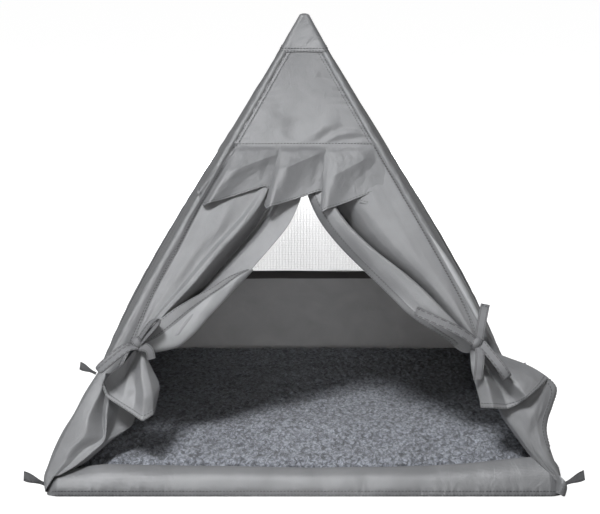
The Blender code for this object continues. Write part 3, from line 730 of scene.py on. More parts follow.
# Skin: side walls, rear wall, gable, and the bands sewn over their seams
skin = {
    "tuck": 0.0034,
    "lowUp": 0.0037,
    "highUp": 0.5225,
    "seamEdge": 0.0012,
    "seamBand": 0.0062,
    "bandLift": 0.0005,
    "bandThickness": 0.0005,
    "stitchRows": (0.0026, 0.0062),
    "puckerPitch": 0.0125,
    "puckerReach": 0.014,
    "puckerHeight": 0.0004,
    "rippleHeight": 0.0030,
    "rippleLength": 0.30,
    "rippleWidth": 0.055,
    "rippleFan": 1.6,
    "fineHeight": 0.0011,
    "fineLength": 0.14,
    "fineWidth": 0.022,
    "wrapFoot": 0.160,
    "wrapTop": 0.310,
}
# widths of the wrapped corner in mm, evenly spaced from the tie up to where it ends
wrapWidths = {
    "left": (9.8, 7.2, 4.4, 3.2, 3.0, 2.6, 0.6),
    "right": (7.5, 3.5, 0.8, 0.2, 0.2, 0.2, 0.2),
}


def cornerWrap(side, up):
    # how far the side wall's cloth wraps onto the front before the curtain's seam
    share = (up - skin["wrapFoot"]) / (skin["wrapTop"] - skin["wrapFoot"])
    return 0.001 * tableValue(wrapWidths[side], share)


def seamPucker(distance, up, seed):
    # stitching gathers the cloth into small ripples that die out away from the seam
    phase = up / skin["puckerPitch"] + 1.5 * softNoise(up * 25, distance * 10, seed)
    fade = math.exp(-distance / skin["puckerReach"])
    return skin["puckerHeight"] * math.sin(2 * math.pi * phase) * fade


def panelPlace(face, lowUp, highUp, wrinkle, seed):
    def place(u, v):
        up = mix(lowUp, highUp, v)
        half = sleeveSide(up) + skin["tuck"]
        across = mix(-half, half, u)
        edge = half - abs(across)
        fade = smoothStep(0.0, 0.03, edge) * smoothStep(0.0, 0.02, up - lowUp)
        fade *= smoothStep(0.0, 0.02, highUp - up)
        out = panelOut(u, faceShare(up)) + wrinkle(across, up) * fade + seamPucker(edge, up, seed)
        return onFace(face, across, up, out)

    return place


def wallWrinkle(seed):
    def wrinkle(across, up):
        slope = math.radians(90) + across * skin["rippleFan"]
        length, width = skin["rippleLength"], skin["rippleWidth"]
        broad = longWrinkles(across, up, slope, length, width, seed)
        length, width = skin["fineLength"], skin["fineWidth"]
        fine = longWrinkles(across, up, slope + 0.5, length, width, seed + 3)
        return skin["rippleHeight"] * broad + skin["fineHeight"] * fine

    return wrinkle


def seamBands(face, place, lowUp, highUp):
    # flat felled seams beside the sleeves, each with two rows of stitches
    for side, sign in sideSign.items():

        def rail(reach, edge=0.0 if side == "left" else 1.0, sign=sign):
            def at(v):
                width = 2 * (sleeveSide(mix(lowUp, highUp, v)) + skin["tuck"])
                return (edge - sign * min(reach / width, 0.5), v)

            return at

        rails = [rail(skin["seamEdge"]), rail(skin["seamEdge"] + skin["seamBand"])]
        if side == "right":
            rails.reverse()
        band = gridMesh(
            f"seam_{face}_{side}", 5, 150, bandOn(place, *rails, skin["bandLift"]),
            (skin["seamBand"], highUp - lowUp),
        )
        finishSheet(band, skin["bandThickness"], 50, "tent", [outerCloth])
        for reach in skin["stitchRows"]:
            sewAlong("tent", place, rail(reach), skin["bandLift"] + 0.0004, 120)


def skinPanel(name, face, lowUp, highUp, wrinkle, grid, flat, seed, node, lining):
    place = panelPlace(face, lowUp, highUp, wrinkle, seed)
    panel = gridMesh(name, *grid, place, flat)
    finishSheet(panel, tent["clothThickness"], 70, "tent", [outerCloth, lining], [node])
    return place


# name, face, top, grid, flat size, seed, node and lining of each wall
walls = [
    ("wall_left", "left", skin["highUp"], (110, 120), (0.56, 0.53), 1, "left_wall", innerCloth),
    ("wall_right", "right", skin["highUp"], (110, 120), (0.56, 0.53), 2, "right_wall", innerCloth),
    (
        "wall_rear_lower", "rear", tent["rearTop"], (120, 50), (0.56, 0.17), 4,
        "rear_lower_wall", litRearCloth,
    ),
]
seams = []
for name, face, top, grid, flat, seed, node, lining in walls:
    low, wrinkle = skin["lowUp"], wallWrinkle(seed)
    place = skinPanel(name, face, low, top, wrinkle, grid, flat, seed, node, lining)
    seams.append((face, place, low, top))
for seam in seams:
    seamBands(*seam)
print("walls made")

gableCreases = [
    ((-0.002, 0.398), (0.0385, 0.4324), 0.009, 0.0016),
    ((0.014, 0.397), (0.030, 0.418), 0.006, -0.0012),
    ((0.018, 0.3995), (0.0406, 0.4116), 0.0045, 0.0017),
    ((0.0406, 0.4116), (0.0689, 0.4165), 0.0045, 0.0015),
    ((0.024, 0.3975), (0.066, 0.4070), 0.0050, -0.0015),
    ((-0.0477, 0.4397), (-0.0216, 0.425), 0.008, 0.0012),
    ((-0.0159, 0.4056), (-0.0046, 0.4324), 0.009, -0.0013),
    ((-0.0364, 0.4569), (-0.025, 0.4496), 0.005, -0.0007),
    ((0.016, 0.4867), (0.0319, 0.4805), 0.004, -0.0009),
    ((-0.061, 0.410), (-0.0329, 0.4299), 0.008, 0.0009),
]
gableRipple = {"angle": 1.3, "length": 0.10, "width": 0.035, "height": 0.0008}


def gableWrinkle(across, up):
    angle, length, width = (gableRipple[key] for key in ("angle", "length", "width"))
    broad = longWrinkles(across, up, angle, length, width, 9)
    return creaseHeight(across, up, gableCreases) + gableRipple["height"] * broad


gablePlace = skinPanel(
    "gable", "front", tent["headerUp"], skin["highUp"], gableWrinkle, (90, 80), (0.185, 0.125), 6,
    "front_gable", innerCloth,
)
seamBands("front", gablePlace, tent["headerUp"], skin["highUp"])

headerSeam = {
    "depth": 0.045,
    "lift": 0.0008,
    "thickness": 0.0006,
    "flat": (0.18, 0.006),
    "stitchRows": (0.008, 0.037),
    "stitchLift": 0.0012,
}


def headerPlace(u, v):
    return surfaceAt(gablePlace, u, v * headerSeam["depth"], headerSeam["lift"])[0]


headerBand = gridMesh("header_seam", 120, 5, headerPlace, headerSeam["flat"])
finishSheet(headerBand, headerSeam["thickness"], 50, "tent", [outerCloth])
for rowShare in headerSeam["stitchRows"]:
    stitchRail = lambda u, v=rowShare: (mix(0.02, 0.98, u), v)
    sewAlong("tent", gablePlace, stitchRail, headerSeam["stitchLift"])
print("gable made")


# Corner sleeves: cloth tubes round the poles, closed by a folded knob at the floor
sleeve = {
    "sides": 22,
    "rows": 230,
    "rippleHeight": 0.00055,
    "puckerHeight": 0.0002,
    "lowShare": 0.0055,
    "topShare": 0.918,
    "slim": 0.88,
    "inset": 0.0004,
    "closing": 0.012,
    "knobHeight": 0.18,
    "knobPlace": 0.018,
}


def buildSleeve(end, side):
    signX, signY = sideSign[side], endSign[end]
    seed = 11 + signX + 2 * signY
    outward = Vector((signX, signY, 0)).normalized()
    points = []
    for row in range(sleeve["rows"] + 1):
        v = row / sleeve["rows"]
        t = mix(sleeve["lowShare"], sleeve["topShare"], v)
        centre = cornerAxis(signX, signY, t)
        ahead = cornerAxis(signX, signY, t + 0.002) - cornerAxis(signX, signY, t - 0.002)
        ahead.normalize()
        first = (outward - ahead * outward.dot(ahead)).normalized()
        second = ahead.cross(first)
        closing = math.sqrt(max(0.0, 1 - (1 - min(1.0, v / sleeve["closing"])) ** 2))
        knobFade = math.exp(-(((v - sleeve["knobPlace"]) / sleeve["closing"]) ** 2))
        knob = (1 + sleeve["knobHeight"] * knobFade) * max(0.12, closing)
        slimmed = smoothStep(0.2, 0.5, t)
        radius = tent["sleeveRadius"] * mix(1.0, sleeve["slim"], slimmed)
        for s in range(sleeve["sides"]):
            angle = 2 * math.pi * s / sleeve["sides"]
            ripple = longWrinkles(angle * 0.006, t * edgeLength, 1.2, 0.035, 0.006, seed)
            pucker = softNoise(t * edgeLength * 120, angle, seed) * sleeve["puckerHeight"]
            reach = (radius + sleeve["rippleHeight"] * ripple + pucker) * knob
            spoke = first * math.cos(angle) + second * math.sin(angle)
            points.append(centre + spoke * reach - first * (sleeve["inset"] * slimmed))
    faces = tubeFaces(sleeve["rows"] + 1, sleeve["sides"])
    uvOf = rowUv(sleeve["sides"], sleeve["sides"], sleeve["rows"], (0.034, edgeLength * 0.9))
    piece = addMesh(f"sleeve_{end}_{side}", points, faces, uvOf)
    smoothPiece(piece, 70)
    dress(piece, "tent", [outerCloth], [f"corner_sleeve_{end}_{side}"])


for side in sideSign:
    for end in endSign:
        buildSleeve(end, side)
print("sleeves made")


# Apex cap: a doubled square cone of cloth with rounded corners and a blunt folded tip
cap = {
    "rows": 60,
    "perSide": 20,
    "cornerShare": 0.3,
    "corner": 0.0045,
    "hemDrop": 0.0012,
    "hemShare": 0.11,
    "hemStep": 0.00025,
    "crumple": 0.0005,
    "shoulder": 0.93,
    "tipHalf": 0.0052,
    "tipRise": 0.0014,
    "tipShift": 0.0005,
    "layers": 0.0012,
    "thickness": 0.0007,
    "flat": (0.2, 0.045),
    "stitchRows": (0.03, 0.095),
    "stitchLift": 0.0012,
}


def gableAt(height):
    # how far out the middle of the front gable's cloth stands at one height
    low, high = gablePlace(0.5, 0.0), gablePlace(0.5, 1.0)
    return abs(gablePlace(0.5, min(1.0, (height - low.z) / (high.z - low.z))).y)


def capRing(v):
    # points of a rounded square round the cap at v from its hem to its tip
    footHalf = cornerAxis(1, 1, shareBy(1, capFoot)).x + tent["sleeveRadius"] + 0.0002
    if v < cap["shoulder"]:
        share = v / cap["shoulder"]
        height = mix(capFoot - cap["hemDrop"], tent["height"] - cap["tipRise"], share)
        half = mix(footHalf, cap["tipHalf"], share)
    else:
        turn = (v - cap["shoulder"]) / (1 - cap["shoulder"])
        height = tent["height"] - cap["tipRise"] * (1 - turn) ** 2
        half = mix(cap["tipHalf"], 0.0006, turn)
    corner = min(cap["corner"], half * 0.75)
    press = (footHalf - gableAt(capFoot) - cap["layers"]) * max(0.0, 1 - v / 0.4)
    ring = []
    for quarter in range(4):
        spin = Matrix.Rotation(math.pi / 2 * quarter, 3, "Z")
        for k in range(cap["perSide"]):
            share = k / cap["perSide"]
            if share < cap["cornerShare"]:
                angle = share / cap["cornerShare"] * math.pi / 2
                x = half - corner + corner * math.cos(angle)
                y = half - corner + corner * math.sin(angle)
            else:
                along = (share - cap["cornerShare"]) / (1 - cap["cornerShare"])
                x = mix(half - corner, -(half - corner), along)
                y = half - press * min(1.0, 5 * along * (1 - along))
            ring.append(spin @ Vector((x, y, 0)) + Vector((cap["tipShift"] * v * v, 0, height)))
    return ring


def levelOut(point):
    return Vector((point.x, point.y, 0)).normalized()


def buildCap():
    count = 4 * cap["perSide"]
    points = []
    for row in range(cap["rows"] + 1):
        v = row / cap["rows"]
        hemStep = cap["hemStep"] if v < cap["hemShare"] else 0.0
        fade = smoothStep(0.0, 0.08, v)
        for point in capRing(v):
            around = math.atan2(point.y, point.x) * 0.02
            fold = longWrinkles(around, point.z, 0.4, 0.02, 0.006, 21)
            points.append(point + levelOut(point) * (cap["crumple"] * fold * fade + hemStep))
    faces = tubeFaces(cap["rows"] + 1, count, openFoot=True)
    piece = addMesh("apex_cap_cloth", points, faces, rowUv(count, count, cap["rows"], cap["flat"]))
    finishSheet(piece, cap["thickness"], 60, "tent", [outerCloth], ["apex_cap"])
    for rowShare in cap["stitchRows"]:
        ring = capRing(rowShare)
        seam = [(point + levelOut(point) * cap["stitchLift"], levelOut(point)) for point in ring]
        sewPoints("tent", seam + seam[:1])


buildCap()
print("cap made")


# Rear window: white net of crossing threads under a black tape
net = {"lowUp": 0.1680, "highUp": 0.5220, "edgeUp": 0.1685, "sag": 0.0008}
# each layer of the net: name, pitch, half width of a thread, material
netLayers = [
    ("window_net_fine", 0.0013, 0.00021, fineNet),
    ("window_net_grid", 0.0039, 0.00034, gridNet),
]


def rearHalf(up):
    return sleeveSide(up) + skin["tuck"]


def netPoint(across, up):
    u = (across + rearHalf(up)) / (2 * rearHalf(up))
    sag = net["sag"] * longWrinkles(across, up, 1.2, 0.2, 0.05, 31)
    return onFace("rear", across, up, panelOut(u, faceShare(up)) + sag)


def netPaths(pitch):
    # the threads' paths: the rows first, then the columns up to where they meet a seam
    rows = int((net["highUp"] - net["lowUp"]) / pitch)
    for row in range(1, rows):
        up = net["lowUp"] + row * pitch
        half = rearHalf(up)
        count = max(4, int(half / 0.008))
        yield [netPoint(mix(-half, half, k / count), up) for k in range(count + 1)]
    columns = int(rearHalf(net["lowUp"]) / pitch)
    for column in range(-columns, columns + 1):
        across = column * pitch
        top = net["highUp"]
        while rearHalf(top) < abs(across):
            top -= 0.002
        if top - net["lowUp"] >= 0.006:
            count = max(3, int((top - net["lowUp"]) / 0.014))
            yield [netPoint(across, mix(net["lowUp"], top, k / count)) for k in range(count + 1)]


def buildNet(name, pitch, width, material):
    points, faces = [], []
    rearOut = faceTurns["rear"] @ frontOut
    for path in netPaths(pitch):
        faces += tubeFaces(len(path), 4, len(points))
        sideways = (path[-1] - path[0]).normalized().cross(rearOut).normalized()
        for spot in path:
            for a, b in ((-1, 0), (0, -0.8), (1, 0), (0, 0.8)):
                points.append(spot + sideways * a * width + rearOut * b * width)
    piece = addMesh(name, points, faces, lambda index, point: (point.x, point.z))
    dress(piece, "tent", [material], ["rear_net_window"])


for layer in netLayers:
    buildNet(*layer)

binding = {"lowUp": 0.1568, "highUp": 0.1689, "thickness": 0.0016, "round": 0.0007, "wave": 0.0005}


def bindingPlace(u, v):
    up = mix(binding["lowUp"], binding["highUp"], v)
    across = mix(-rearHalf(up), rearHalf(up), u)
    wave = binding["wave"] * softNoise(across * 30, v * 2, 41)
    rounded = binding["round"] * math.sin(math.pi * v) ** 0.5
    out = panelOut(u, faceShare(up)) + wave + rounded
    return onFace("rear", across, up + 0.0004 * softNoise(across * 18, 3, 42), out)


tape = gridMesh("window_binding", 160, 8, bindingPlace, (0.40, 0.0125))
tapeNodes = ["rear_window_binding"]
finishSheet(tape, binding["thickness"], 60, "tent", [bindingTape], tapeNodes)
netEdgePlace = panelPlace("rear", net["edgeUp"], skin["highUp"], lambda across, up: 0.0, 8)
seamBands("rear_window", netEdgePlace, net["edgeUp"], skin["highUp"])
print("rear window made")


# Front corners: the side wall's cloth wraps onto the front, and the curtain is sewn there
cornerCloth = {
    "lowUp": 0.130,
    "highUp": 0.400,
    "outer": 0.0035,
    "inner": 0.0012,
    "lift": 0.0042,
    "stitchRows": (0.10, 0.30),
}


def wrapPlace(side, lowUp, highUp):
    sign = sideSign[side]

    def place(u, v):
        up = mix(lowUp, highUp, v)
        outer = sleeveSide(up) + cornerCloth["outer"]
        inner = sleeveSide(up) - cornerWrap(side, up) - cornerCloth["inner"]
        across = mix(inner, outer, u)
        rise = mix(0.0012, tent["sleeveRadius"] * 0.72, smoothStep(0.0, 0.95, u))
        pucker = 0.0006 * softNoise(up * 55, u * 2, 51 + sign) * (1 - u)
        out = faceOut(faceShare(up)) + rise + cornerCloth["lift"] + pucker
        return onFace("front", sign * across, up, out)

    return place


for side, sign in sideSign.items():
    lowUp, highUp = cornerCloth["lowUp"], cornerCloth["highUp"]
    wrap = wrapPlace(side, lowUp, highUp)
    flat = (0.02, highUp - lowUp)
    piece = gridMesh(f"corner_wrap_{side}", 12, 160, wrap, flat, flip=side == "left")
    finishSheet(piece, tent["clothThickness"], 60, "tent", [outerCloth])
    for rowShare in cornerCloth["stitchRows"]:
        wrapRail = lambda t, share=rowShare: (share, mix(0.01, 0.99, t))
        sewAlong("tent", wrap, wrapRail, sign * 0.0005)


# the right front corner's turned fold, which catches the light
cornerFold = {
    "lowUp": 0.186,
    "highUp": 0.292,
    "width": 0.0085,
    "lift": 0.0014,
    "flat": (0.01, 0.106),
}


def cornerFoldPlace(u, v):
    up = mix(cornerFold["lowUp"], cornerFold["highUp"], v)
    width = cornerFold["width"] * math.sin(math.pi * mix(0.04, 0.96, v)) ** 0.6
    inner = sleeveSide(up) + mix(0.0052, 0.0012, v)
    across = inner + width * u
    radius = tent["sleeveRadius"]
    off = (across - sleeveSide(up) - radius) / (radius * 1.35)
    rounded = radius * math.sqrt(max(0.0, 1 - off**2))
    lift = cornerFold["lift"] * math.sin(math.pi * u) ** 0.5 * math.sin(math.pi * v) ** 0.5
    return onFace("front", across, up, faceOut(faceShare(up)) + rounded + 0.0006 + lift)


foldPiece = gridMesh("corner_fold_right", 14, 120, cornerFoldPlace, cornerFold["flat"])
finishSheet(foldPiece, tent["clothThickness"], 60, "tent", [stripCloth])
print("front corners made")


# Valance: knife pleats sewn under the header, opening into facets toward a stitched hem
valance = {
    "columns": 76,
    "rows": 84,
    "thickness": 0.0008,
    "baseOut": 0.0052,
    "underlay": 0.007,
    "hem": 0.0034,
    "flat": (0.075, 0.08),
    "cut": (0.31, 0.10),
}
# one pleat's cross-section from the tuck under its line (0) to the tuck under the next (1):
# share across, and millimetres out at the header, on the ridge and at the hem
pleatShare = (0.0, 0.0, 0.02, 0.10, 0.23, 0.37, 0.51, 0.65, 0.79, 0.93, 1.0)
pleatTuck = (1.0, 0.0, 0.10, 0.06, 0.0, 0.0, 0.0, 0.0, 0.0, 0.0, 1.0)
headerForm = (0.0, 0.9, 1.3, 1.2, 1.1, 1.0, 0.9, 0.8, 0.7, 0.5, 0.0)
ridgeForm = (0.0, 2.4, 5.2, 7.6, 8.8, 7.6, 6.5, 5.6, 4.6, 2.6, 0.0)
hemForm = (0.0, 3.4, 9.2, 11.0, 7.8, 5.4, 3.8, 2.8, 2.0, 1.4, 0.0)
# bays: left and right line (x at header, x at hem), hem drops (tuck, low, high), swell and
# where the ridge lies
bays = [
    {"left": (-0.0770, -0.1190), "right": (-0.0740, -0.1120), "drops": (0.052, 0.056, 0.070),
        "swell": 0.30, "ridge": 0.5},
    {"left": (-0.0740, -0.1120), "right": (-0.0260, -0.0430), "drops": (0.066, 0.0735, 0.0475),
        "swell": 0.98, "ridge": 0.50},
    {"left": (-0.0260, -0.0430), "right": (0.0240, 0.0190), "drops": (0.062, 0.0775, 0.0530),
        "swell": 1.05, "ridge": 0.42},
    {"left": (0.0240, 0.0190), "right": (0.0750, 0.0760), "drops": (0.064, 0.0805, 0.0555),
        "swell": 0.80, "ridge": 0.52},
    {"left": (0.0690, 0.0620), "right": (0.0790, 0.1170), "drops": (0.066, 0.067, 0.078),
        "swell": 0.10, "ridge": 0.5},
]


def pleatDrop(drops, s):
    # how far the hem hangs below the header across one pleat
    tuckDrop, lowDrop, highDrop = drops
    if s <= 0.22:
        return mix(tuckDrop, lowDrop, smoothStep(0.0, 0.22, s))
    if s <= 0.93:
        return mix(lowDrop, highDrop, (s - 0.22) / 0.71)
    return mix(highDrop, highDrop + 0.006, (s - 0.93) / 0.07)


def bayPlace(bay):
    spec = bays[bay]
    tucked = 0 if spec["swell"] < 0.2 or bay == 0 else valance["underlay"]

    def place(s, v):
        across = tableValue(pleatShare, s)
        x = mix(mix(*spec["left"], v), mix(*spec["right"], v), across)
        x += tableValue(pleatTuck, s) * tucked
        up = tent["headerUp"] + 0.0015 - (pleatDrop(spec["drops"], s) + 0.0015) * v
        ridgeV = spec["ridge"] - 0.46 * max(0.0, s - 0.38) - 0.36 * max(0.0, 0.38 - s)
        below = max(0.0, (v - ridgeV) / (1 - ridgeV))
        header, ridge, hem = (tableValue(form, s) for form in (headerForm, ridgeForm, hemForm))
        rising = mix(header, ridge, min(1.0, v / ridgeV))
        falling = mix(ridge, hem, below)
        height = mix(rising, falling, smoothStep(ridgeV - 0.045, ridgeV + 0.045, v))
        sag = smoothStep(0.35, 0.7, s) * (1 - smoothStep(0.85, 1.0, s))
        height -= 1.5 * math.sin(math.pi * min(1.0, below)) * sag
        height *= spec["swell"]
        height += 0.45 * softNoise(s * 4, v * 4, 61 + bay) + 0.2 * softNoise(s * 13, v * 11,
            66 + bay)
        out = valance["baseOut"] + 0.001 * height * smoothStep(-0.05, 0.12, v)
        return onFace("front", x, up, out)

    return place


def buildValance():
    parts = []
    for bay, spec in enumerate(bays):
        place = bayPlace(bay)
        columns = valance["columns"] if spec["swell"] > 0.5 else 24
        parts.append(
            gridMesh(f"valance_bay_{bay}", columns, valance["rows"], place, valance["flat"])
        )
        hemShare = 1 - valance["hem"] / spec["drops"][1]

        def hemPlace(u, v, place=place, low=hemShare):
            return surfaceAt(place, u, mix(low, 1.0, v), -0.0008)[0]

        hemFlat = (valance["flat"][0], valance["hem"])
        parts.append(gridMesh(f"valance_hem_{bay}", columns, 4, hemPlace, hemFlat))
        hemRail = lambda t, row=hemShare + 0.012: (mix(0.03, 0.97, t), row)
        sewAlong("valance", place, hemRail, -0.0011, 80)
    bpy.ops.object.select_all(action="DESELECT")
    for part in parts:
        part.select_set(True)
    bpy.context.view_layer.objects.active = parts[2]
    bpy.ops.object.join()
    cloth = bpy.context.view_layer.objects.active
    cloth.name = "valance_cloth"
    finishSheet(cloth, valance["thickness"], 32, "valance", [outerCloth, innerCloth], ["valance"])


buildValance()
print("valance made")


# Curtains: gathered from the seam to the tie, folded along given ridges and valleys
curtain = {
    "thickness": 0.0008,
    "columns": 150,
    "rows": 150,
    "knotUp": 0.160,
    "seamFoot": 0.172,
    "seamLift": 0.0042,
    "bunched": 0.10,
    "bundleOut": 0.0175,
    "sagBelow": 0.008,
    "hemWidth": 0.0095,
    "hemThickness": 0.0009,
    "hemRows": (0.14, 0.84),
    "stitchLift": 0.0006,
    "flat": (0.24, 0.24),
    "cut": (0.30, 0.26),
    "roundness": 0.8,
    "scale": 0.001,
}
# free edges from the header to the tie: (across, up, out) in mm of the face
freeEdges = {
    "left": [(-2, 386, 2), (-0.1, 354.5, 3), (-5.7, 329.3, 3.5), (-17.4, 303.1, 4),
        (-36.7, 277, 5), (-58.6, 249.5, 7), (-79.1, 224.7, 9), (-101.6, 197.4, 12),
        (-122.8, 170.5, 15)],
    "right": [(-1, 386, 2), (0.4, 354.5, 3), (8.0, 329.3, 3.5), (22.2, 303.1, 4), (42.5, 277, 5),
        (67.0, 250.4, 6), (91.0, 224.2, 8), (115.5, 196.8, 11), (150, 170.5, 15)],
}
# folds: where a ridge or valley lies from seam (0) to free edge (1), and its height in mm,
# each at five places from the header to the tie
foldRails = {
    "left": [
        ((0, 0, 0, 0, 0), (0, 0, 0, 0, 0)),
        ((0.10, 0.10, 0.10, 0.09, 0.05), (0.5, 1, 1.5, 1.5, 1)),
        ((0.30, 0.30, 0.22, 0.17, 0.09), (1, 2.5, 3.5, 3.5, 3)),
        ((0.47, 0.50, 0.36, 0.29, 0.14), (0.5, 0, 0.5, 1.5, 2.5)),
        ((0.55, 0.57, 0.467, 0.37, 0.19), (2, 4.5, 6.5, 6.5, 5)),
        ((0.61, 0.615, 0.515, 0.44, 0.26), (1.5, 3.5, 5.5, 6, 5)),
        ((0.65, 0.65, 0.545, 0.475, 0.33), (-4, -24, -38, -34, -10)),
        ((0.71, 0.72, 0.61, 0.55, 0.43), (-4, -17, -24, -19, -4)),
        ((0.80, 0.80, 0.75, 0.64, 0.52), (-1, -3.5, -5, -4, 2)),
        ((0.92, 0.92, 0.90, 0.80, 0.72), (0, -1, -1.5, 1, 4)),
        ((1, 1, 1, 1, 1), (0, 0, 0, 0.5, 1)),
    ],
    "right": [
        ((0, 0, 0, 0, 0), (0, 0, 0, 0, 0)),
        ((0.12, 0.12, 0.11, 0.07, 0.05), (0.5, 1.5, 2, 2, 2)),
        ((0.30, 0.316, 0.265, 0.164, 0.10), (1.5, 3, 4, 4, 3.5)),
        ((0.42, 0.44, 0.40, 0.28, 0.15), (0.5, 1, 1.5, 1.5, 2)),
        ((0.52, 0.55, 0.50, 0.33, 0.19), (-1, -4, -4, -3, 0)),
        ((0.59, 0.63, 0.57, 0.38, 0.235), (-3, -13, -16, -14, -4)),
        ((0.65, 0.685, 0.62, 0.415, 0.27), (-6, -28, -36, -32, -9)),
        ((0.69, 0.735, 0.665, 0.445, 0.305), (-8, -46, -60, -54, -14)),
        ((0.73, 0.770, 0.70, 0.480, 0.34), (0, 3, 5.5, 6, 4)),
        ((0.765, 0.80, 0.735, 0.53, 0.39), (1.5, 6, 9, 9.5, 6.5)),
        ((0.82, 0.85, 0.80, 0.64, 0.51), (1, 4.5, 7, 8, 6)),
        ((0.91, 0.925, 0.895, 0.80, 0.72), (0, 0, 1.5, 3, 3)),
        ((1, 1, 1, 1, 1), (0, -6, -8, -6, -1)),
    ],
}
knotPlaces = {"left": (-0.1795, 0.1590, 0.020), "right": (0.1855, 0.1590, 0.020)}


def curtainSeam(side, up):
    return sleeveSide(up) - cornerWrap(side, up)


def sectionAt(side, v, kept={}):
    # the fold places, heights and slopes across the curtain at one height
    key = (side, round(v, 5))
    if key not in kept:
        rails = [
            (tableValue(places, v), tableValue(heights, v)) for places, heights in foldRails[side]
        ]
        steps = [
            (high - low) / max(after - before, 1e-6)
            for (before, low), (after, high) in zip(rails, rails[1:])
        ]
        slopes = [steps[0]]
        slopes += [2 * a * b / (a + b) if a * b > 0 else 0.0 for a, b in zip(steps, steps[1:])]
        kept[key] = [(*rail, slope) for rail, slope in zip(rails, slopes + [steps[-1]])]
    return kept[key]


def foldForm(side, u, v):
    rails = sectionAt(side, v)
    for (before, low, leaving), (after, high, arriving) in zip(rails, rails[1:]):
        if u <= after:
            width = max(after - before, 1e-6)
            t = (u - before) / width
            smooth = low * (1 + 2 * t) * (1 - t) ** 2 + high * t * t * (3 - 2 * t)
            smooth += width * (leaving * t * (1 - t) ** 2 - arriving * t * t * (1 - t))
            return mix(mix(low, high, t), smooth, curtain["roundness"])
    return rails[-1][1]


def gatheredPlace(side):
    sign = sideSign[side]
    knot = Vector(knotPlaces[side])
    spread = Vector((sign * 0.004, 0.003, 0.0))

    def gathered(u, v):
        freeEdge = alongCurve(freeEdges[side], v)
        freeX, freeUp, freeOut = (value * curtain["scale"] for value in freeEdge)
        seamUp = mix(tent["curtainTop"], curtain["seamFoot"], v)
        seamX = sign * curtainSeam(side, seamUp)
        seamOut = faceOut(faceShare(seamUp)) + curtain["seamLift"]
        level = mix(freeOut, seamOut, (1 - u) ** 1.5)
        bundled = max(level, curtain["bundleOut"] * math.sin(math.pi * mix(0.15, 0.75, u)))
        level = mix(level, bundled, smoothStep(0.7, 1.0, v))
        form = foldForm(side, u, v) * curtain["scale"] * smoothStep(0.02, 0.34, v)
        fade = smoothStep(0, 0.1, u)
        hem = 1 - 0.7 * smoothStep(0.9, 1.0, u)
        crease = longWrinkles(u * 0.14, v * 0.25, 1.50, 0.16, 0.011, 70 + sign)
        form += 0.0005 * crease * fade * hem
        form += 0.0009 * softNoise(u * 7, v * 5, 75 + sign) * fade
        return Vector((mix(seamX, freeX, u), mix(seamUp, freeUp, u), level + form))

    def place(u, v):
        # the last rows draw together into the knot
        whole = v * (1 + curtain["bunched"])
        spot = gathered(u, min(whole, 1.0))
        if whole > 1.0:
            share = (whole - 1) / curtain["bunched"]
            fold = Vector((0, 0, 0.001 * foldForm(side, u, 1.0)))
            target = knot + spread * (1 - 2 * u) + fold
            spot = spot.lerp(target, smoothStep(-0.35, 1.0, share) if share < 1 else 1.0)
            drawn = math.sin(math.pi * min(1, share * 1.05))
            spot.y -= curtain["sagBelow"] * u * drawn * (1 if side == "right" else 0.6)
        return onFace("front", *spot)

    return place


def railSheet(rails, seed, crisp=0.55, rough=0.0008):
    # a sheet through given lines of (across, up, out) in mm: smooth along them, folded at them
    count = len(rails) - 1

    def place(u, v):
        spot = Vector(alongCurve([alongCurve(rail, v) for rail in rails], u))
        at = min(int(u * count), count - 1)
        first, second = (Vector(alongCurve(rail, v)) for rail in (rails[at], rails[at + 1]))
        spot = spot.lerp(first.lerp(second, u * count - at), crisp) * 0.001
        broad, fine = softNoise(u * 5, v * 4, seed), softNoise(u * 13, v * 9, seed + 2)
        spot.z += rough * broad + rough * 0.5 * fine
        return onGround(onFace("front", *spot))

    return place


# tails, from the knot to the hem, one line per ridge or valley
tailRails = {
    "left": [
        [(-180, 158, 20), (-192, 142, 13), (-204, 131, 10), (-212, 120, 8)],
        [(-180, 158, 22), (-194, 140, 18), (-208, 129, 15), (-217, 116, 14)],
        [(-178, 156, 22), (-191, 131, 13), (-202, 116, 13), (-212, 103, 16)],
        [(-177, 156, 23), (-188, 131, 17), (-192, 110, 19), (-197, 92, 20)],
        [(-177, 156, 24), (-181, 126, 20), (-181, 104, 20), (-184, 83, 22)],
        [(-176, 156, 25), (-174, 125, 28), (-171, 99, 29), (-172, 74, 27)],
        [(-175, 156, 25), (-167, 125, 27), (-162, 102, 27), (-162, 81, 25)],
        [(-174, 154, 22), (-163, 132, 18), (-156, 114, 15), (-161, 86, 16)],
    ],
    "right": [
        [(180, 154, 20), (181, 131, 19), (186, 112, 16), (191, 92, 14)],
        [(179, 154, 22), (180, 131, 24), (185, 112, 22), (190, 90, 20)],
        [(183, 153, 27), (190, 130, 30), (197, 110, 30), (201, 88, 27)],
        [(187, 153, 24), (199, 131, 12), (211, 111, 12), (217, 89, 20)],
        [(189, 153, 24), (206, 127, 13), (221, 106, 15), (229, 94, 23)],
        [(190, 153, 26), (211, 127, 29), (230, 107, 31), (238, 99, 30)],
        [(191, 152, 27), (218, 134, 28), (242, 122, 27), (252, 112, 26)],
        [(192, 156, 24), (216, 147, 21), (243, 137, 18), (263, 124, 17)],
    ],
}
tailFlats = {"left": ((0.085, 0.075), (0.115, 0.08)), "right": ((0.12, 0.085), (0.15, 0.085))}
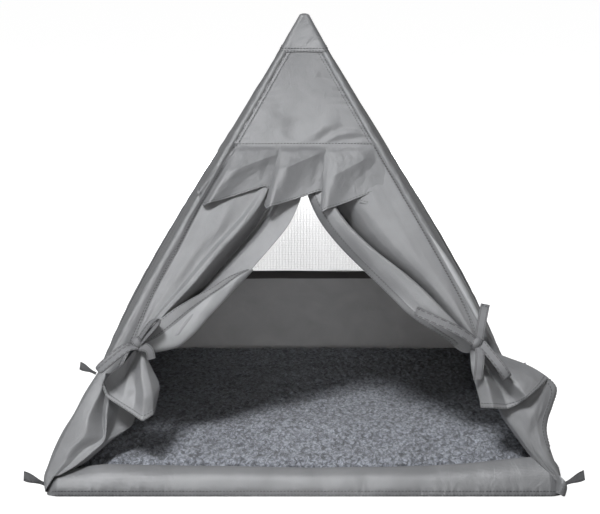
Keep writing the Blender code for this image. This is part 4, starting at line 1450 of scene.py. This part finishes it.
# the turned-back lapel of the left curtain: its hemmed edge and the fold it hangs over
lapel = {
    "edge": [(-57.4, 251.2, 9), (-81.4, 239.8, 12), (-103, 225.4, 14), (-124.6, 212.2, 16),
        (-140.6, 201.3, 18), (-156.5, 188.2, 20), (-170.1, 176.3, 22), (-178.3, 164.5, 24)],
    "fold": [(-55.3, 250.8, 7), (-66.1, 238.8, 8), (-78, 225.8, 9), (-89.8, 211.4, 11),
        (-104.8, 193.7, 13), (-116.4, 178.4, 15), (-136.6, 159.8, 17), (-164.3, 152.2, 20)],
    "across": (0.0, 0.3, 0.62, 0.9, 1.0, 0.97),
    "lift": (1.5, 2.6, 3.2, 2.2, -0.5, -5.0),
    "cut": (0.03, 0.16),
}


def lapelPlace(u, v):
    v = mix(0.02, 0.99, v)
    edge, fold = (Vector(alongCurve(lapel[line], v)) for line in ("edge", "fold"))
    spot = edge.lerp(fold, tableValue(lapel["across"], u))
    wide = min(1.0, (edge - fold).length / 16)
    spot.z += tableValue(lapel["lift"], u) * wide
    crease = longWrinkles(u * 0.05, v * 0.16, 1.35, 0.09, 0.012, 77)
    spot.z += 1.4 * crease * wide * smoothStep(0, 0.3, u)
    return onFace("front", *(spot * 0.001))


def sewHem(body, place, rails, flat, name, material, lift):
    # a doubled hem between two rails with two rows of stitches
    band = gridMesh(name, 5, 120, bandOn(place, *rails, lift), flat)
    finishSheet(band, curtain["hemThickness"], 50, body, [material])
    for share in curtain["hemRows"]:

        def rail(t, share=share):
            first, second = rails[0](t), rails[1](t)
            return (mix(first[0], second[0], share), mix(first[1], second[1], share))

        sewAlong(body, place, rail, lift + math.copysign(curtain["stitchLift"], lift), 90)
    return band


def buildLapel():
    body = "left_curtain"
    looks = [lapelCloth, innerCloth]
    fold = gridMesh("curtain_left_lapel", 40, 120, lapelPlace, (0.04, 0.16), flip=True)
    finishSheet(fold, curtain["thickness"], 75, body, looks, [body])
    rails = (
        lambda t: (0.01, mix(0.02, 0.99, t)),
        lambda t: (mix(0.32, 0.27, t), mix(0.02, 0.99, t)),
    )
    name = "curtain_left_lapel_hem"
    hem = sewHem(body, lapelPlace, rails, (0.010, 0.15), name, shadedHemCloth, -0.0006)


def sewRightEdge(place):
    def hemReach(t):
        width = (place(0, t * 0.9) - place(1, t * 0.9)).length
        return 1 - curtain["hemWidth"] / width

    rails = (
        lambda t: (hemReach(mix(0.05, 0.97, t)), mix(0.05, 0.93, t)),
        lambda t: (0.997, mix(0.05, 0.93, t)),
    )
    name = "curtain_right_hem"
    return sewHem("right_curtain", place, rails, (0.010, 0.22), name, shadedHemCloth, 0.0006)


def buildCurtain(side):
    body = side + "_curtain"
    looks = [litCurtainCloth, innerCloth]
    place = gatheredPlace(side)
    columns, rows = curtain["columns"], curtain["rows"]
    flip = side == "left"
    cloth = gridMesh(f"curtain_{side}", columns, rows, place, curtain["flat"], flip=flip)
    finishSheet(cloth, curtain["thickness"], 75, body, looks, [body])
    if side == "left":
        buildLapel()
    else:
        sewRightEdge(place)
    tail = railSheet(tailRails[side], 80 + sideSign[side])
    flat, cut = tailFlats[side]
    fan = gridMesh(f"tail_{side}", 84, 60, tail, flat, flip=True)
    finishSheet(fan, curtain["thickness"], 60, body, looks, [body])
    rails = [lambda t, v=v: (mix(0.02, 0.98, t), v) for v in (0.885, 0.998)]
    sewHem(body, tail, rails, (0.010, 0.10), f"tail_hem_{side}", litCurtainCloth, -0.0006)


# Skirts: the curtain's sewn part below the tie, drawn up and folded toward the seam; each
# line runs from the tie to the corner, the first one round the sleeve on the side wall
skirtRails = {
    "left": [
        [(-215, 150, -22), (-236, 117, -22), (-249, 92, -22), (-260, 72, -22), (-264, 52, -24),
            (-268, 34, -23), (-270, 19, -22), (-269, 4, -20)],
        [(-216, 149, -4), (-236, 116, -4), (-248, 91, -4), (-259, 72, -4), (-268, 52, -4),
            (-274, 34, -4), (-278, 19, -4), (-275.5, 4, -3)],
        [(-214, 147, 8), (-231, 115, 8), (-243, 91, 8), (-253, 71, 8), (-262, 51, 8),
            (-269, 34, 8), (-274, 19, 8), (-274, 4, 9)],
        [(-212, 140, 11), (-219, 112, 12), (-226, 95, 13), (-231, 81, 14), (-234, 63, 14),
            (-247, 48, 13), (-257, 31, 12), (-266, 17, 12)],
        [(-211, 132, 9), (-215, 108, 5), (-217, 92, 3), (-217, 76, 4), (-216, 60, 7),
            (-235, 47, 9), (-250, 31, 10), (-264, 18, 11)],
        [(-209, 126, 8), (-210, 104, 8), (-212, 88, 9), (-212, 73, 10), (-214, 57, 10),
            (-226, 44, 11), (-241, 31, 11), (-260, 19, 11)],
        [(-208, 115, 0), (-202, 103, -6), (-202, 88, -8), (-207, 72, -6), (-211, 58, 4),
            (-221, 45, 6), (-235, 36, 6), (-254, 25, 8)],
        [(-196, 112, -8), (-188, 103, -14), (-184, 90, -16), (-187, 79, -13), (-200, 67, -6),
            (-216, 53, 0), (-231, 37, 2), (-250, 26, 3)],
    ],
    "right": [
        [(208, 97, 2), (214, 83, 2), (226, 65, 2), (236, 50, 2), (247, 35, 3), (258, 22, 4),
            (267, 14, 6), (272, 8, 8)],
        [(208, 97, 10), (216, 83, 10), (228, 65, 10), (238, 50, 10), (249, 35, 9), (260, 22, 9),
            (268, 13, 9), (273, 8, 10)],
        [(219, 100, 14), (229, 87, 15), (235, 70, 14), (241, 55, 12), (249, 40, 11), (260, 25, 10),
            (269, 15, 10), (274, 8, 10)],
        [(232, 109, 17), (239, 94, 18), (242, 78, 17), (245, 63, 13), (248, 46, 12), (259, 29, 11),
            (269, 17, 10), (274, 8, 10)],
        [(253, 119, 20), (258, 105, 19), (254, 89, 17), (250, 74, 15), (252, 57, 13),
            (261, 35, 12), (270, 19, 11), (275, 9, 10)],
        [(263, 124, 14), (271, 113, 13), (266, 95, 12), (261, 81, 10), (259, 68, 8), (262, 51, 6),
            (269, 29, 4), (275, 10, 3)],
        [(236, 114, -20), (243, 104, -18), (248, 91, -16), (253, 80, -16), (256, 66, -18),
            (262, 50, -18), (269, 30, -18), (274, 10, -14)],
    ],
}
# the knob of cloth where the right skirt's hem folds into the base corner
cornerTuck = [
    [(266, 20, 6), (268, 10, 6), (267, 0, 8)],
    [(269, 19, 14), (272, 9, 19), (269.5, -2, 15)],
    [(271, 16, 16), (276.5, 8, 18), (273, -4, 13)],
    [(272, 13, 10), (278.5, 7, 8), (276, -3, 6)],
]
skirtCuts = {"left": ((0.09, 0.16), (0.10, 0.17)), "right": ((0.08, 0.15), (0.10, 0.16))}


def buildSkirt(side):
    place = railSheet(skirtRails[side], 90 + sideSign[side], 0.5)
    flat, cut = skirtCuts[side]
    cloth = gridMesh(f"skirt_{side}", 84, 90, place, flat, flip=True)
    looks = [litCurtainCloth, innerCloth]
    finishSheet(cloth, curtain["thickness"], 60, "tent", looks, [side + "_curtain_skirt"])
    if side == "right":
        rails = [lambda t, u=u: (u, mix(0.01, 0.70, t)) for u in (0.725, 0.83)]
        name = "skirt_hem_right"
        sewHem("tent", place, rails, (0.010, 0.06), name, litCurtainCloth, -0.0006)
        tuckPlace = railSheet(cornerTuck, 97, 0.3, 0.0004)
        tuck = gridMesh("corner_tuck_right", 24, 24, tuckPlace, (0.024, 0.022), flip=True)
        finishSheet(tuck, curtain["thickness"], 60, "tent", [litCurtainCloth])


# Header hem: the gable's turned-down edge behind the valance, which the curtains hang from
headerHem = {"top": 0.003, "overlap": 0.006, "lift": 0.0010, "flat": (0.205, 0.025)}


def headerHemPlace(u, v):
    up = mix(tent["headerUp"] + headerHem["top"], tent["curtainTop"] - headerHem["overlap"], v)
    across = mix(-curtainSeam("left", up), curtainSeam("right", up), u)
    return onFace("front", across, up, faceOut(faceShare(up)) + headerHem["lift"])


hemSheet = gridMesh("header_hem", 60, 6, headerHemPlace, headerHem["flat"])
finishSheet(hemSheet, tent["clothThickness"], 60, "tent", [outerCloth, innerCloth])
for side in sideSign:
    buildCurtain(side)
    buildSkirt(side)
print("curtains made")


# Ties: flat ribbons laid along given paths, with doubled loops and stitched ends
ribbon = {"width": 0.0100, "thickness": 0.0008, "stitchRows": (0.90, 0.955)}


def faceVector(across, up, out):
    return Vector((across, 0, 0)) + frontUp * up + frontOut * out


def layRibbon(side, part, path, turns, stitched):
    spots = [onFace("front", *(value / 1000 for value in spot)) for spot in path]
    widths = [faceVector(*turn).normalized() for turn in turns]
    width = ribbon["width"]

    def place(u, v):
        sideways = Vector(alongCurve(widths, v)).normalized()
        return Vector(alongCurve(spots, v)) + sideways * (u - 0.5) * width

    piece = gridMesh(f"tie_{side}_{part}", 8, 12 * (len(path) - 1), place, (width, width * 6))
    nodes = [f"{side}_tie_{part}"]
    finishSheet(piece, ribbon["thickness"], 60, "tent", [ribbonCloth], nodes)
    if stitched:
        for share in ribbon["stitchRows"]:
            endRail = lambda t, share=share: (mix(0.08, 0.92, t), share)
            sewAlong("tent", place, endRail, 0.0006)


# each ribbon: side, part, its path as (across, up, out) in mm of the face, how its width turns
# at each place of the path, and whether its end is stitched
ribbonPaths = [
    (
        "left", "loop_upper",
        [(-179, 160, 31), (-172, 171, 33), (-165, 181, 33), (-158, 185, 35), (-157, 180, 37),
            (-163, 172, 37), (-170, 164, 36), (-177, 157, 33)],
        [(0.5, -0.4, 0.75), (0.5, -0.42, 0.75), (0.5, -0.4, 0.75), (0.4, -0.3, 0.85),
            (0.45, -0.4, 0.8), (0.5, -0.42, 0.75), (0.5, -0.42, 0.75), (0.5, -0.4, 0.75)],
        False,
    ),
    (
        "left", "loop_lower",
        [(-179, 157, 30), (-191, 154, 33), (-202, 146.5, 34), (-212, 137.5, 34), (-219, 130.5, 34),
            (-220.5, 127, 35), (-217, 127.5, 38), (-209.5, 134, 39), (-199.5, 143, 38),
            (-188.5, 151, 38), (-180, 154, 34)],
        [(-0.5, 0.75, -0.2), (-0.5, 0.72, -0.3), (-0.5, 0.72, -0.3), (-0.5, 0.7, -0.35),
            (-0.5, 0.65, -0.4), (-0.45, 0.6, -0.5), (-0.5, 0.65, -0.5), (-0.5, 0.7, -0.5),
            (-0.5, 0.7, -0.5), (-0.5, 0.7, -0.45), (-0.5, 0.75, -0.3)],
        False,
    ),
    (
        "left", "tail_lower",
        [(-180, 154, 31), (-173, 154, 35), (-166, 150, 35), (-164, 141, 31)],
        [(0.2, 0.95, 0.2), (0.3, 0.9, 0.2), (0.8, 0.5, 0.2), (0.95, 0.25, 0.1)],
        False,
    ),
    (
        "right", "loop_upper",
        [(184, 160, 31), (170, 170, 34), (150, 179, 36), (130, 189, 35), (121, 193, 36),
            (124, 190, 40), (142, 181, 42), (165, 170, 40), (184, 159, 34)],
        [(0.45, 0.85, 0.1), (0.45, 0.88, 0.0), (0.4, 0.9, 0.0), (0.4, 0.9, 0.1), (0.3, 0.8, 0.4),
            (0.35, 0.85, 0.4), (0.4, 0.9, 0.2), (0.45, 0.88, 0.1), (0.45, 0.85, 0.1)],
        False,
    ),
    (
        "right", "loop_lower",
        [(190, 156, 31), (200, 144, 33), (209, 131, 33), (215, 121, 35), (216, 120, 39),
            (208, 132, 40), (198, 146, 38), (190, 158, 34)],
        [(0.8, 0.5, 0.1), (0.82, 0.5, 0.1), (0.82, 0.5, 0.0), (0.8, 0.5, 0.2), (0.7, 0.45, 0.5),
            (0.8, 0.5, 0.3), (0.82, 0.5, 0.1), (0.8, 0.5, 0.1)],
        False,
    ),
    (
        "right", "tail_upper",
        [(188, 162, 31), (190, 175, 34), (193, 190, 33), (196, 203, 30)],
        [(1, -0.1, 0.1), (1, -0.15, 0.2), (1, -0.2, 0.1), (1, -0.2, 0.0)],
        True,
    ),
    (
        "right", "tail_lower",
        [(187, 156, 32), (188, 145, 37), (187, 131, 36), (185, 118, 33)],
        [(1, 0.0, 0.1), (1, 0.0, 0.15), (1, 0.05, 0.1), (1, 0.05, 0.0)],
        True,
    ),
]
for ribbonSpec in ribbonPaths:
    layRibbon(*ribbonSpec)

knotForm = {
    "turn": {"left": 38, "right": -20},
    "length": 0.0105,
    "radius": 0.0062,
    "pinch": 0.14,
    "ripple": 0.0003,
    "out": 0.0305,
    "thickness": 0.0012,
    "around": 52,
}


def wrappedKnot(side):
    # the knot: a short band of ribbon wound once round, tighter in its middle
    centreX = knotPlaces[side][0]
    turn = math.radians(knotForm["turn"][side])
    length = knotForm["length"]

    def place(u, v):
        angle = 2 * math.pi * v
        along = (u - 0.5) * length
        pinch = 1 + knotForm["pinch"] * math.cos(2 * math.pi * (u - 0.5))
        radius = knotForm["radius"] * pinch + knotForm["ripple"] * math.sin(3 * angle + 5 * u)
        x = along * math.cos(turn) - radius * math.cos(angle) * math.sin(turn)
        y = along * math.sin(turn) + radius * math.cos(angle) * math.cos(turn)
        out = knotForm["out"] + radius * 0.85 * math.sin(angle)
        return onFace("front", centreX + x, curtain["knotUp"] - 0.001 + y, out)

    piece = gridMesh("tie_knot_" + side, 12, knotForm["around"], place, (length, 0.04))
    weldSeam(piece)
    looks, nodes = [ribbonCloth], [side + "_tie_knot"]
    finishSheet(piece, knotForm["thickness"], 60, "tent", looks, nodes)


for side in sideSign:
    wrappedKnot(side)
print("ties made")


# Peg loops: webbing folded on itself at each corner, narrow at the root, flat at the tip
pegLoop = {
    "rootOut": 0.2770,
    "rootHeight": 0.0035,
    "width": 0.0100,
    "rootWidth": 0.0036,
    "thickness": 0.0012,
    "gap": 0.0030,
    "turn": 66.0,
    "curl": 0.0016,
}
# each loop's rise in degrees, length, and place along its side
pegShapes = {
    ("front", "left"): (24.0, 0.0262, 0.250),
    ("front", "right"): (27.0, 0.0262, 0.251),
    ("rear", "left"): (26.0, 0.0230, 0.258),
    ("rear", "right"): (25.0, 0.0215, 0.258),
}


def buildPegLoop(end, side):
    signX, signY = sideSign[side], endSign[end]
    node = f"peg_loop_{end}_{side}"
    rise, length, away = pegShapes[end, side]
    rise, turn = math.radians(rise), math.radians(pegLoop["turn"])
    root = Vector((signX * pegLoop["rootOut"], signY * away, pegLoop["rootHeight"]))
    outward = Vector((signX * 0.97, signY * 0.10, 0)).normalized()
    forward = outward * math.cos(rise) + Vector((0, 0, math.sin(rise)))
    lift = (Vector((0, 0, 1)) - forward * forward.z).normalized()
    across = (Vector((0, 1, 0)) * math.cos(turn) + lift * math.sin(turn)).normalized()
    facing = across.cross(forward).normalized()

    def place(u, v):
        # v runs out along one layer, round the tip and back along the other
        angle = 2 * math.pi * v
        reach = 0.5 - 0.5 * math.cos(angle)
        spread = pegLoop["gap"] * 0.5 * math.sin(angle) * (0.5 + 0.5 * reach)
        width = mix(pegLoop["rootWidth"], pegLoop["width"], smoothStep(0.2, 0.9, reach))
        curl = pegLoop["curl"] * math.sin(reach * 2.4 + 1.3 * u)
        slant = 1 + 0.14 * (u - 0.5) * reach
        spot = root + forward * reach * length * slant + facing * (spread + curl * reach)
        return spot + across * (u - 0.5) * width

    piece = gridMesh(node + "_webbing", 8, 72, place, (pegLoop["width"], 0.055))
    weldSeam(piece)
    finishSheet(piece, pegLoop["thickness"], 60, node, [webbing], [node])


for end, side in pegShapes:
    buildPegLoop(end, side)
print("peg loops made")


# Sill: the front wall's low part, a soft filled roll between the two front corners
sill = {
    "half": 0.2735,
    "end": 0.012,
    "level": 28.0,
    "rootUp": 5.0,
    "gatherPitch": 0.0105,
    "flat": (0.547, 0.065),
    "stitchRows": (0.18, 0.25),
}
# its cross-section, (up, out) in mm of the face: from under the front, over the top, down inside
sillProfile = [(-2, 4), (-3.8, 7.8), (2, 10), (8, 10.5), (18, 9), (28, 3.5), (29, 0), (26, -3.5),
    (18, -4.5)]
# how high the roll stands along its length, left to right, in mm
sillTops = (22, 31, 30, 29.5, 29, 28, 28.3, 29, 31.5, 37, 41)


def sillPlace(u, v):
    up, out = alongCurve(sillProfile, v)
    root = sill["rootUp"]
    across = mix(-sill["half"], sill["half"], u)
    closing = math.sqrt(min(1.0, (sill["half"] - abs(across)) / sill["end"]))
    if up > root:
        up = root + (up - root) * (tableValue(sillTops, u) - root) / (sill["level"] - root)
        up = root + (up - root) * mix(0.45, 1.0, closing)
    out = mix(-1.0, out, closing)
    up += 1.0 * softNoise(u * 9, 0.4, 23) * smoothStep(0.3, 0.8, v)
    gathered = across / sill["gatherPitch"] + 0.8 * softNoise(u * 30, 1, 24)
    gathers = math.sin(2 * math.pi * gathered) * math.exp(-(((v - 0.22) / 0.10) ** 2))
    out += 0.35 * gathers * smoothStep(0.05, 0.15, v)
    wave = 1.2 * softNoise(u * 14, v * 1.5, 21) + 0.6 * softNoise(u * 34, v * 3, 22)
    out += wave * math.sin(math.pi * min(1, v * 1.2)) * smoothStep(0.1, 0.3, v)
    return onGround(onFace("front", across, up * 0.001, out * 0.001))


sillCloth = gridMesh("front_sill_cloth", 320, 34, sillPlace, sill["flat"])
sillLooks = [outerCloth, innerCloth]
finishSheet(sillCloth, tent["clothThickness"], 60, "tent", sillLooks, ["front_sill"])
for row in sill["stitchRows"]:
    sewAlong("tent", sillPlace, lambda t, row=row: (mix(0.01, 0.99, t), row), 0.0005, 200)
print("sill made")


# Floor panel under everything, sewn to the walls' feet
floorPanel = {
    "half": 0.2735,
    "corner": 0.012,
    "middle": 0.0015,
    "thickness": 0.0008,
    "flat": (0.547, 0.547),
}


def roundedSquare(s, t, half, corner):
    # maps a unit square onto a square with rounded corners
    x, y = 2 * s - 1, 2 * t - 1
    reach = max(abs(x), abs(y))
    if reach < 1e-9:
        return Vector((0.0, 0.0))
    edgeX, edgeY = x / reach, y / reach
    inner = half - corner
    px, py = edgeX * half, edgeY * half
    cx, cy = max(-inner, min(inner, px)), max(-inner, min(inner, py))
    if abs(px) > inner and abs(py) > inner:
        direction = Vector((px - cx, py - cy)).normalized()
        px, py = cx + direction.x * corner, cy + direction.y * corner
    return Vector((px, py)) * reach


def floorPlace(u, v):
    spot = roundedSquare(u, v, floorPanel["half"], floorPanel["corner"])
    return Vector((spot.x, spot.y, floorPanel["middle"]))


floorSheet = gridMesh("floor_cloth_panel", 40, 40, floorPlace, (0.55, 0.55))
floorNodes = ["floor_panel"]
finishSheet(floorSheet, floorPanel["thickness"], 60, "tent", [floorCloth], floorNodes)
print("floor made")


# Cushion: a fleece pad that fills the floor, crowned, with curled pile on its top and sides
cushion = {
    "half": 0.2485,
    "corner": 0.040,
    "bottom": 0.0035,
    "top": 0.044,
    "rounding": 0.021,
    "crown": 0.003,
    "columns": 300,
    "curl": 0.0030,
    "curlSize": 0.0044,
    "nap": 0.4,
    "frontSlope": 0.34,
    "frontReach": 0.0065,
    "turned": 0.84,
    "rounded": 0.62,
    "tuckIn": 0.018,
    "sunk": 0.0012,
}


def padPlace(s, t):
    # the top and sides of the pad: the outer part of the square turns down to the floor
    x, y = 2 * s - 1, 2 * t - 1
    reach = max(abs(x), abs(y))
    half, rounding = cushion["half"], cushion["rounding"]
    if reach <= cushion["turned"]:
        inward = reach / cushion["turned"] * (1 - rounding / half)
        z = cushion["top"]
    else:
        turn = (reach - cushion["turned"]) / (1 - cushion["turned"])
        arc = min(1.0, turn / cushion["rounded"]) * math.pi / 2
        inward = 1 - rounding / half * (1 - math.sin(arc))
        z = cushion["top"] - rounding * (1 - math.cos(arc))
        if turn > cushion["rounded"]:
            down = (turn - cushion["rounded"]) / (1 - cushion["rounded"])
            z = mix(z, cushion["bottom"], down)
            inward -= cushion["tuckIn"] * down**2
    edge = Vector((0.0, 0.0))
    if reach > 1e-9:
        edge = roundedSquare(0.5 + x / reach * 0.5, 0.5 + y / reach * 0.5, half, cushion["corner"])
    spot = edge * inward
    bow = cushion["crown"] * (1 - min(1.0, inward) ** 2)
    front = smoothStep(0.14, half, -spot.y)
    z = cushion["bottom"] + (z + bow - cushion["bottom"]) * (1 - cushion["frontSlope"] * front)
    return Vector((spot.x, spot.y - cushion["frontReach"] * front, z))


def curlHeight(point):
    spot = Vector((point.x, point.y * cushion["nap"], point.z)) / cushion["curlSize"]
    x, y = spot.x * 0.45, spot.y * 0.45
    warp = Vector((softNoise(x, y, 3), softNoise(x, y, 4), 0)) * 0.9
    near = noise.voronoi(spot + warp)[0][0]
    tuft = max(0.0, 1 - near * 1.25) ** 0.7
    clump = 0.5 + 0.5 * noise.noise(point * 55)
    return tuft * (0.55 + 0.6 * clump)


def buildCushion():
    size = cushion["columns"]
    side = size + 1
    points = [padPlace(c / size, r / size) for r in range(side) for c in range(side)]
    curled = []
    for index, point in enumerate(points):
        r, c = divmod(index, side)
        alongU = points[r * side + min(c + 1, size)] - points[r * side + max(c - 1, 0)]
        alongV = points[min(r + 1, size) * side + c] - points[max(r - 1, 0) * side + c]
        normal = alongU.cross(alongV).normalized()
        rim = min(r, c, size - r, size - c)
        amount = curlHeight(point) * min(1.0, rim / 6)
        sag = 0.0012 * noise.noise(point * 16) + 0.0007 * noise.noise(point * 41)
        height = amount * cushion["curl"] + sag * min(1.0, rim / 40) - cushion["sunk"]
        curled.append(point + normal * height)
    faces = gridFaces(size, size)
    rim = [c for c in range(side)] + [r * side + size for r in range(1, side)]
    rim += [size * side + c for c in reversed(range(size))]
    rim += [r * side for r in reversed(range(1, size))]
    centre = len(curled)
    curled.append(Vector((0, 0, cushion["bottom"])))
    faces += [(second, first, centre) for first, second in zip(rim, rim[1:] + rim[:1])]
    piece = addMesh("fleece_pad", curled, faces, lambda index, point: (point.x, point.y))
    piece.data.shade_smooth()
    dress(piece, "cushion", [curlyFleece], ["cushion_fleece_cover"])


buildCushion()

# the pads under the cover: half width, lowest and highest, corner radius
fibrePad = {"half": 0.236, "low": 0.012, "high": 0.034, "corner": 0.03}
underPad = {"half": 0.243, "low": 0.0022, "high": 0.0028, "corner": 0.035}


def simplePad(name, pad, material, node):
    def place(u, v):
        spot = roundedSquare(u, v, pad["half"], pad["corner"])
        reach = max(abs(2 * u - 1), abs(2 * v - 1))
        middle = (pad["low"] + pad["high"]) / 2
        return Vector((spot.x, spot.y, mix(pad["high"], middle, smoothStep(0.86, 1.0, reach))))

    top = gridMesh(name, 40, 40, place, (2 * pad["half"], 2 * pad["half"]))
    return finishSheet(top, 0.0008, 60, "cushion", [material], [node])


filling = simplePad("cushion_fibre", fibrePad, fillingFibre, "cushion_filling")
underSheet = simplePad(
    "cushion_under_cloth", underPad, underCloth, "cushion_underside",
)
print("cushion made")


for body in sorted(stitchStore):
    count = makeStitches(body, sewingThread)
    print("stitches on", body + ":", count)


# Floor, light and camera
stage = {
    "size": 80,
    "level": -0.0005,
    "floorColour": (0.25, 0.25, 0.25, 1),
    "roughness": 0.9,
    "glow": 0.96,
}
bpy.ops.mesh.primitive_plane_add(size=stage["size"], location=(0, 0, stage["level"]))
floorStage = bpy.context.view_layer.objects.active
floorStage.name = "studio_floor"
paper, paperTree, paperShader = startMaterial("studio paper")
seen = addNode(paperTree, "ShaderNodeLightPath").outputs["Is Camera Ray"]
setInputs(paperTree, paperShader, {
    "Base Color": stage["floorColour"],
    "Roughness": stage["roughness"],
    "Emission Color": (1, 1, 1, 1),
    "Emission Strength": mathNode(paperTree, "MULTIPLY", seen, stage["glow"]),
})
floorStage.data.materials.append(paper)

# each soft light: place, size, power, colour
lights = {
    "key": ((-1.1, -2.05, 3.5), 0.9, 140, (0.97, 0.985, 1.0)),
    "front": ((0.3, -3.4, 1.3), 1.6, 7, (0.97, 0.985, 1.0)),
    "right": ((2.4, -0.6, 1.4), 1.4, 6, (1.0, 0.985, 0.96)),
    "left": ((-2.8, -1.6, 1.9), 0.8, 20, (0.97, 0.985, 1.0)),
    "back": ((0.0, 2.7, 0.22), 0.30, 62, (0.985, 0.99, 1.0)),
}
fill = {
    "place": (0.0, -2.26, 0.29),
    "aim": (0.0, 0.24, 0.11),
    "cone": 10.5,
    "power": 95,
    "size": 0.12,
}
sky = {"colour": (1.0, 0.995, 0.985, 1), "strength": 0.085}
# angles in degrees, lens and sensor in mm
photoCamera = {
    "place": (-0.0046, -2.2657, 0.6158),
    "tilt": 79.7892,
    "lens": 116.65,
    "sensor": 36,
}


def addLight(kind, name, place, aim, power):
    bpy.ops.object.light_add(type=kind, location=place)
    lamp = bpy.context.view_layer.objects.active
    lamp.name = "light_" + name
    lamp.data.energy = power
    lamp.rotation_euler = (Vector(aim) - Vector(place)).to_track_quat("-Z", "Y").to_euler()
    return lamp.data


for name, (place, size, power, colour) in lights.items():
    lamp = addLight("AREA", name, place, (0, 0, 0.2), power)
    lamp.size = size
    lamp.color = colour

# a narrow fill through the doorway, onto the far wall
lamp = addLight("SPOT", "fill", fill["place"], fill["aim"], fill["power"])
lamp.spot_size = math.radians(fill["cone"])
lamp.spot_blend = 1.0
lamp.shadow_soft_size = fill["size"]

world = bpy.data.worlds.new("soft studio")
bpy.context.scene.world = world
world.use_nodes = True
background = world.node_tree.nodes["Background"]
background.inputs["Color"].default_value = sky["colour"]
background.inputs["Strength"].default_value = sky["strength"]
bpy.context.scene.view_settings.view_transform = "Standard"

tilt = (math.radians(photoCamera["tilt"]), 0, 0)
bpy.ops.object.camera_add(location=photoCamera["place"], rotation=tilt)
camera = bpy.context.view_layer.objects.active
camera.name = "photo_camera"
camera.data.lens = photoCamera["lens"]
camera.data.sensor_width = photoCamera["sensor"]
bpy.context.scene.camera = camera
print("studio made")
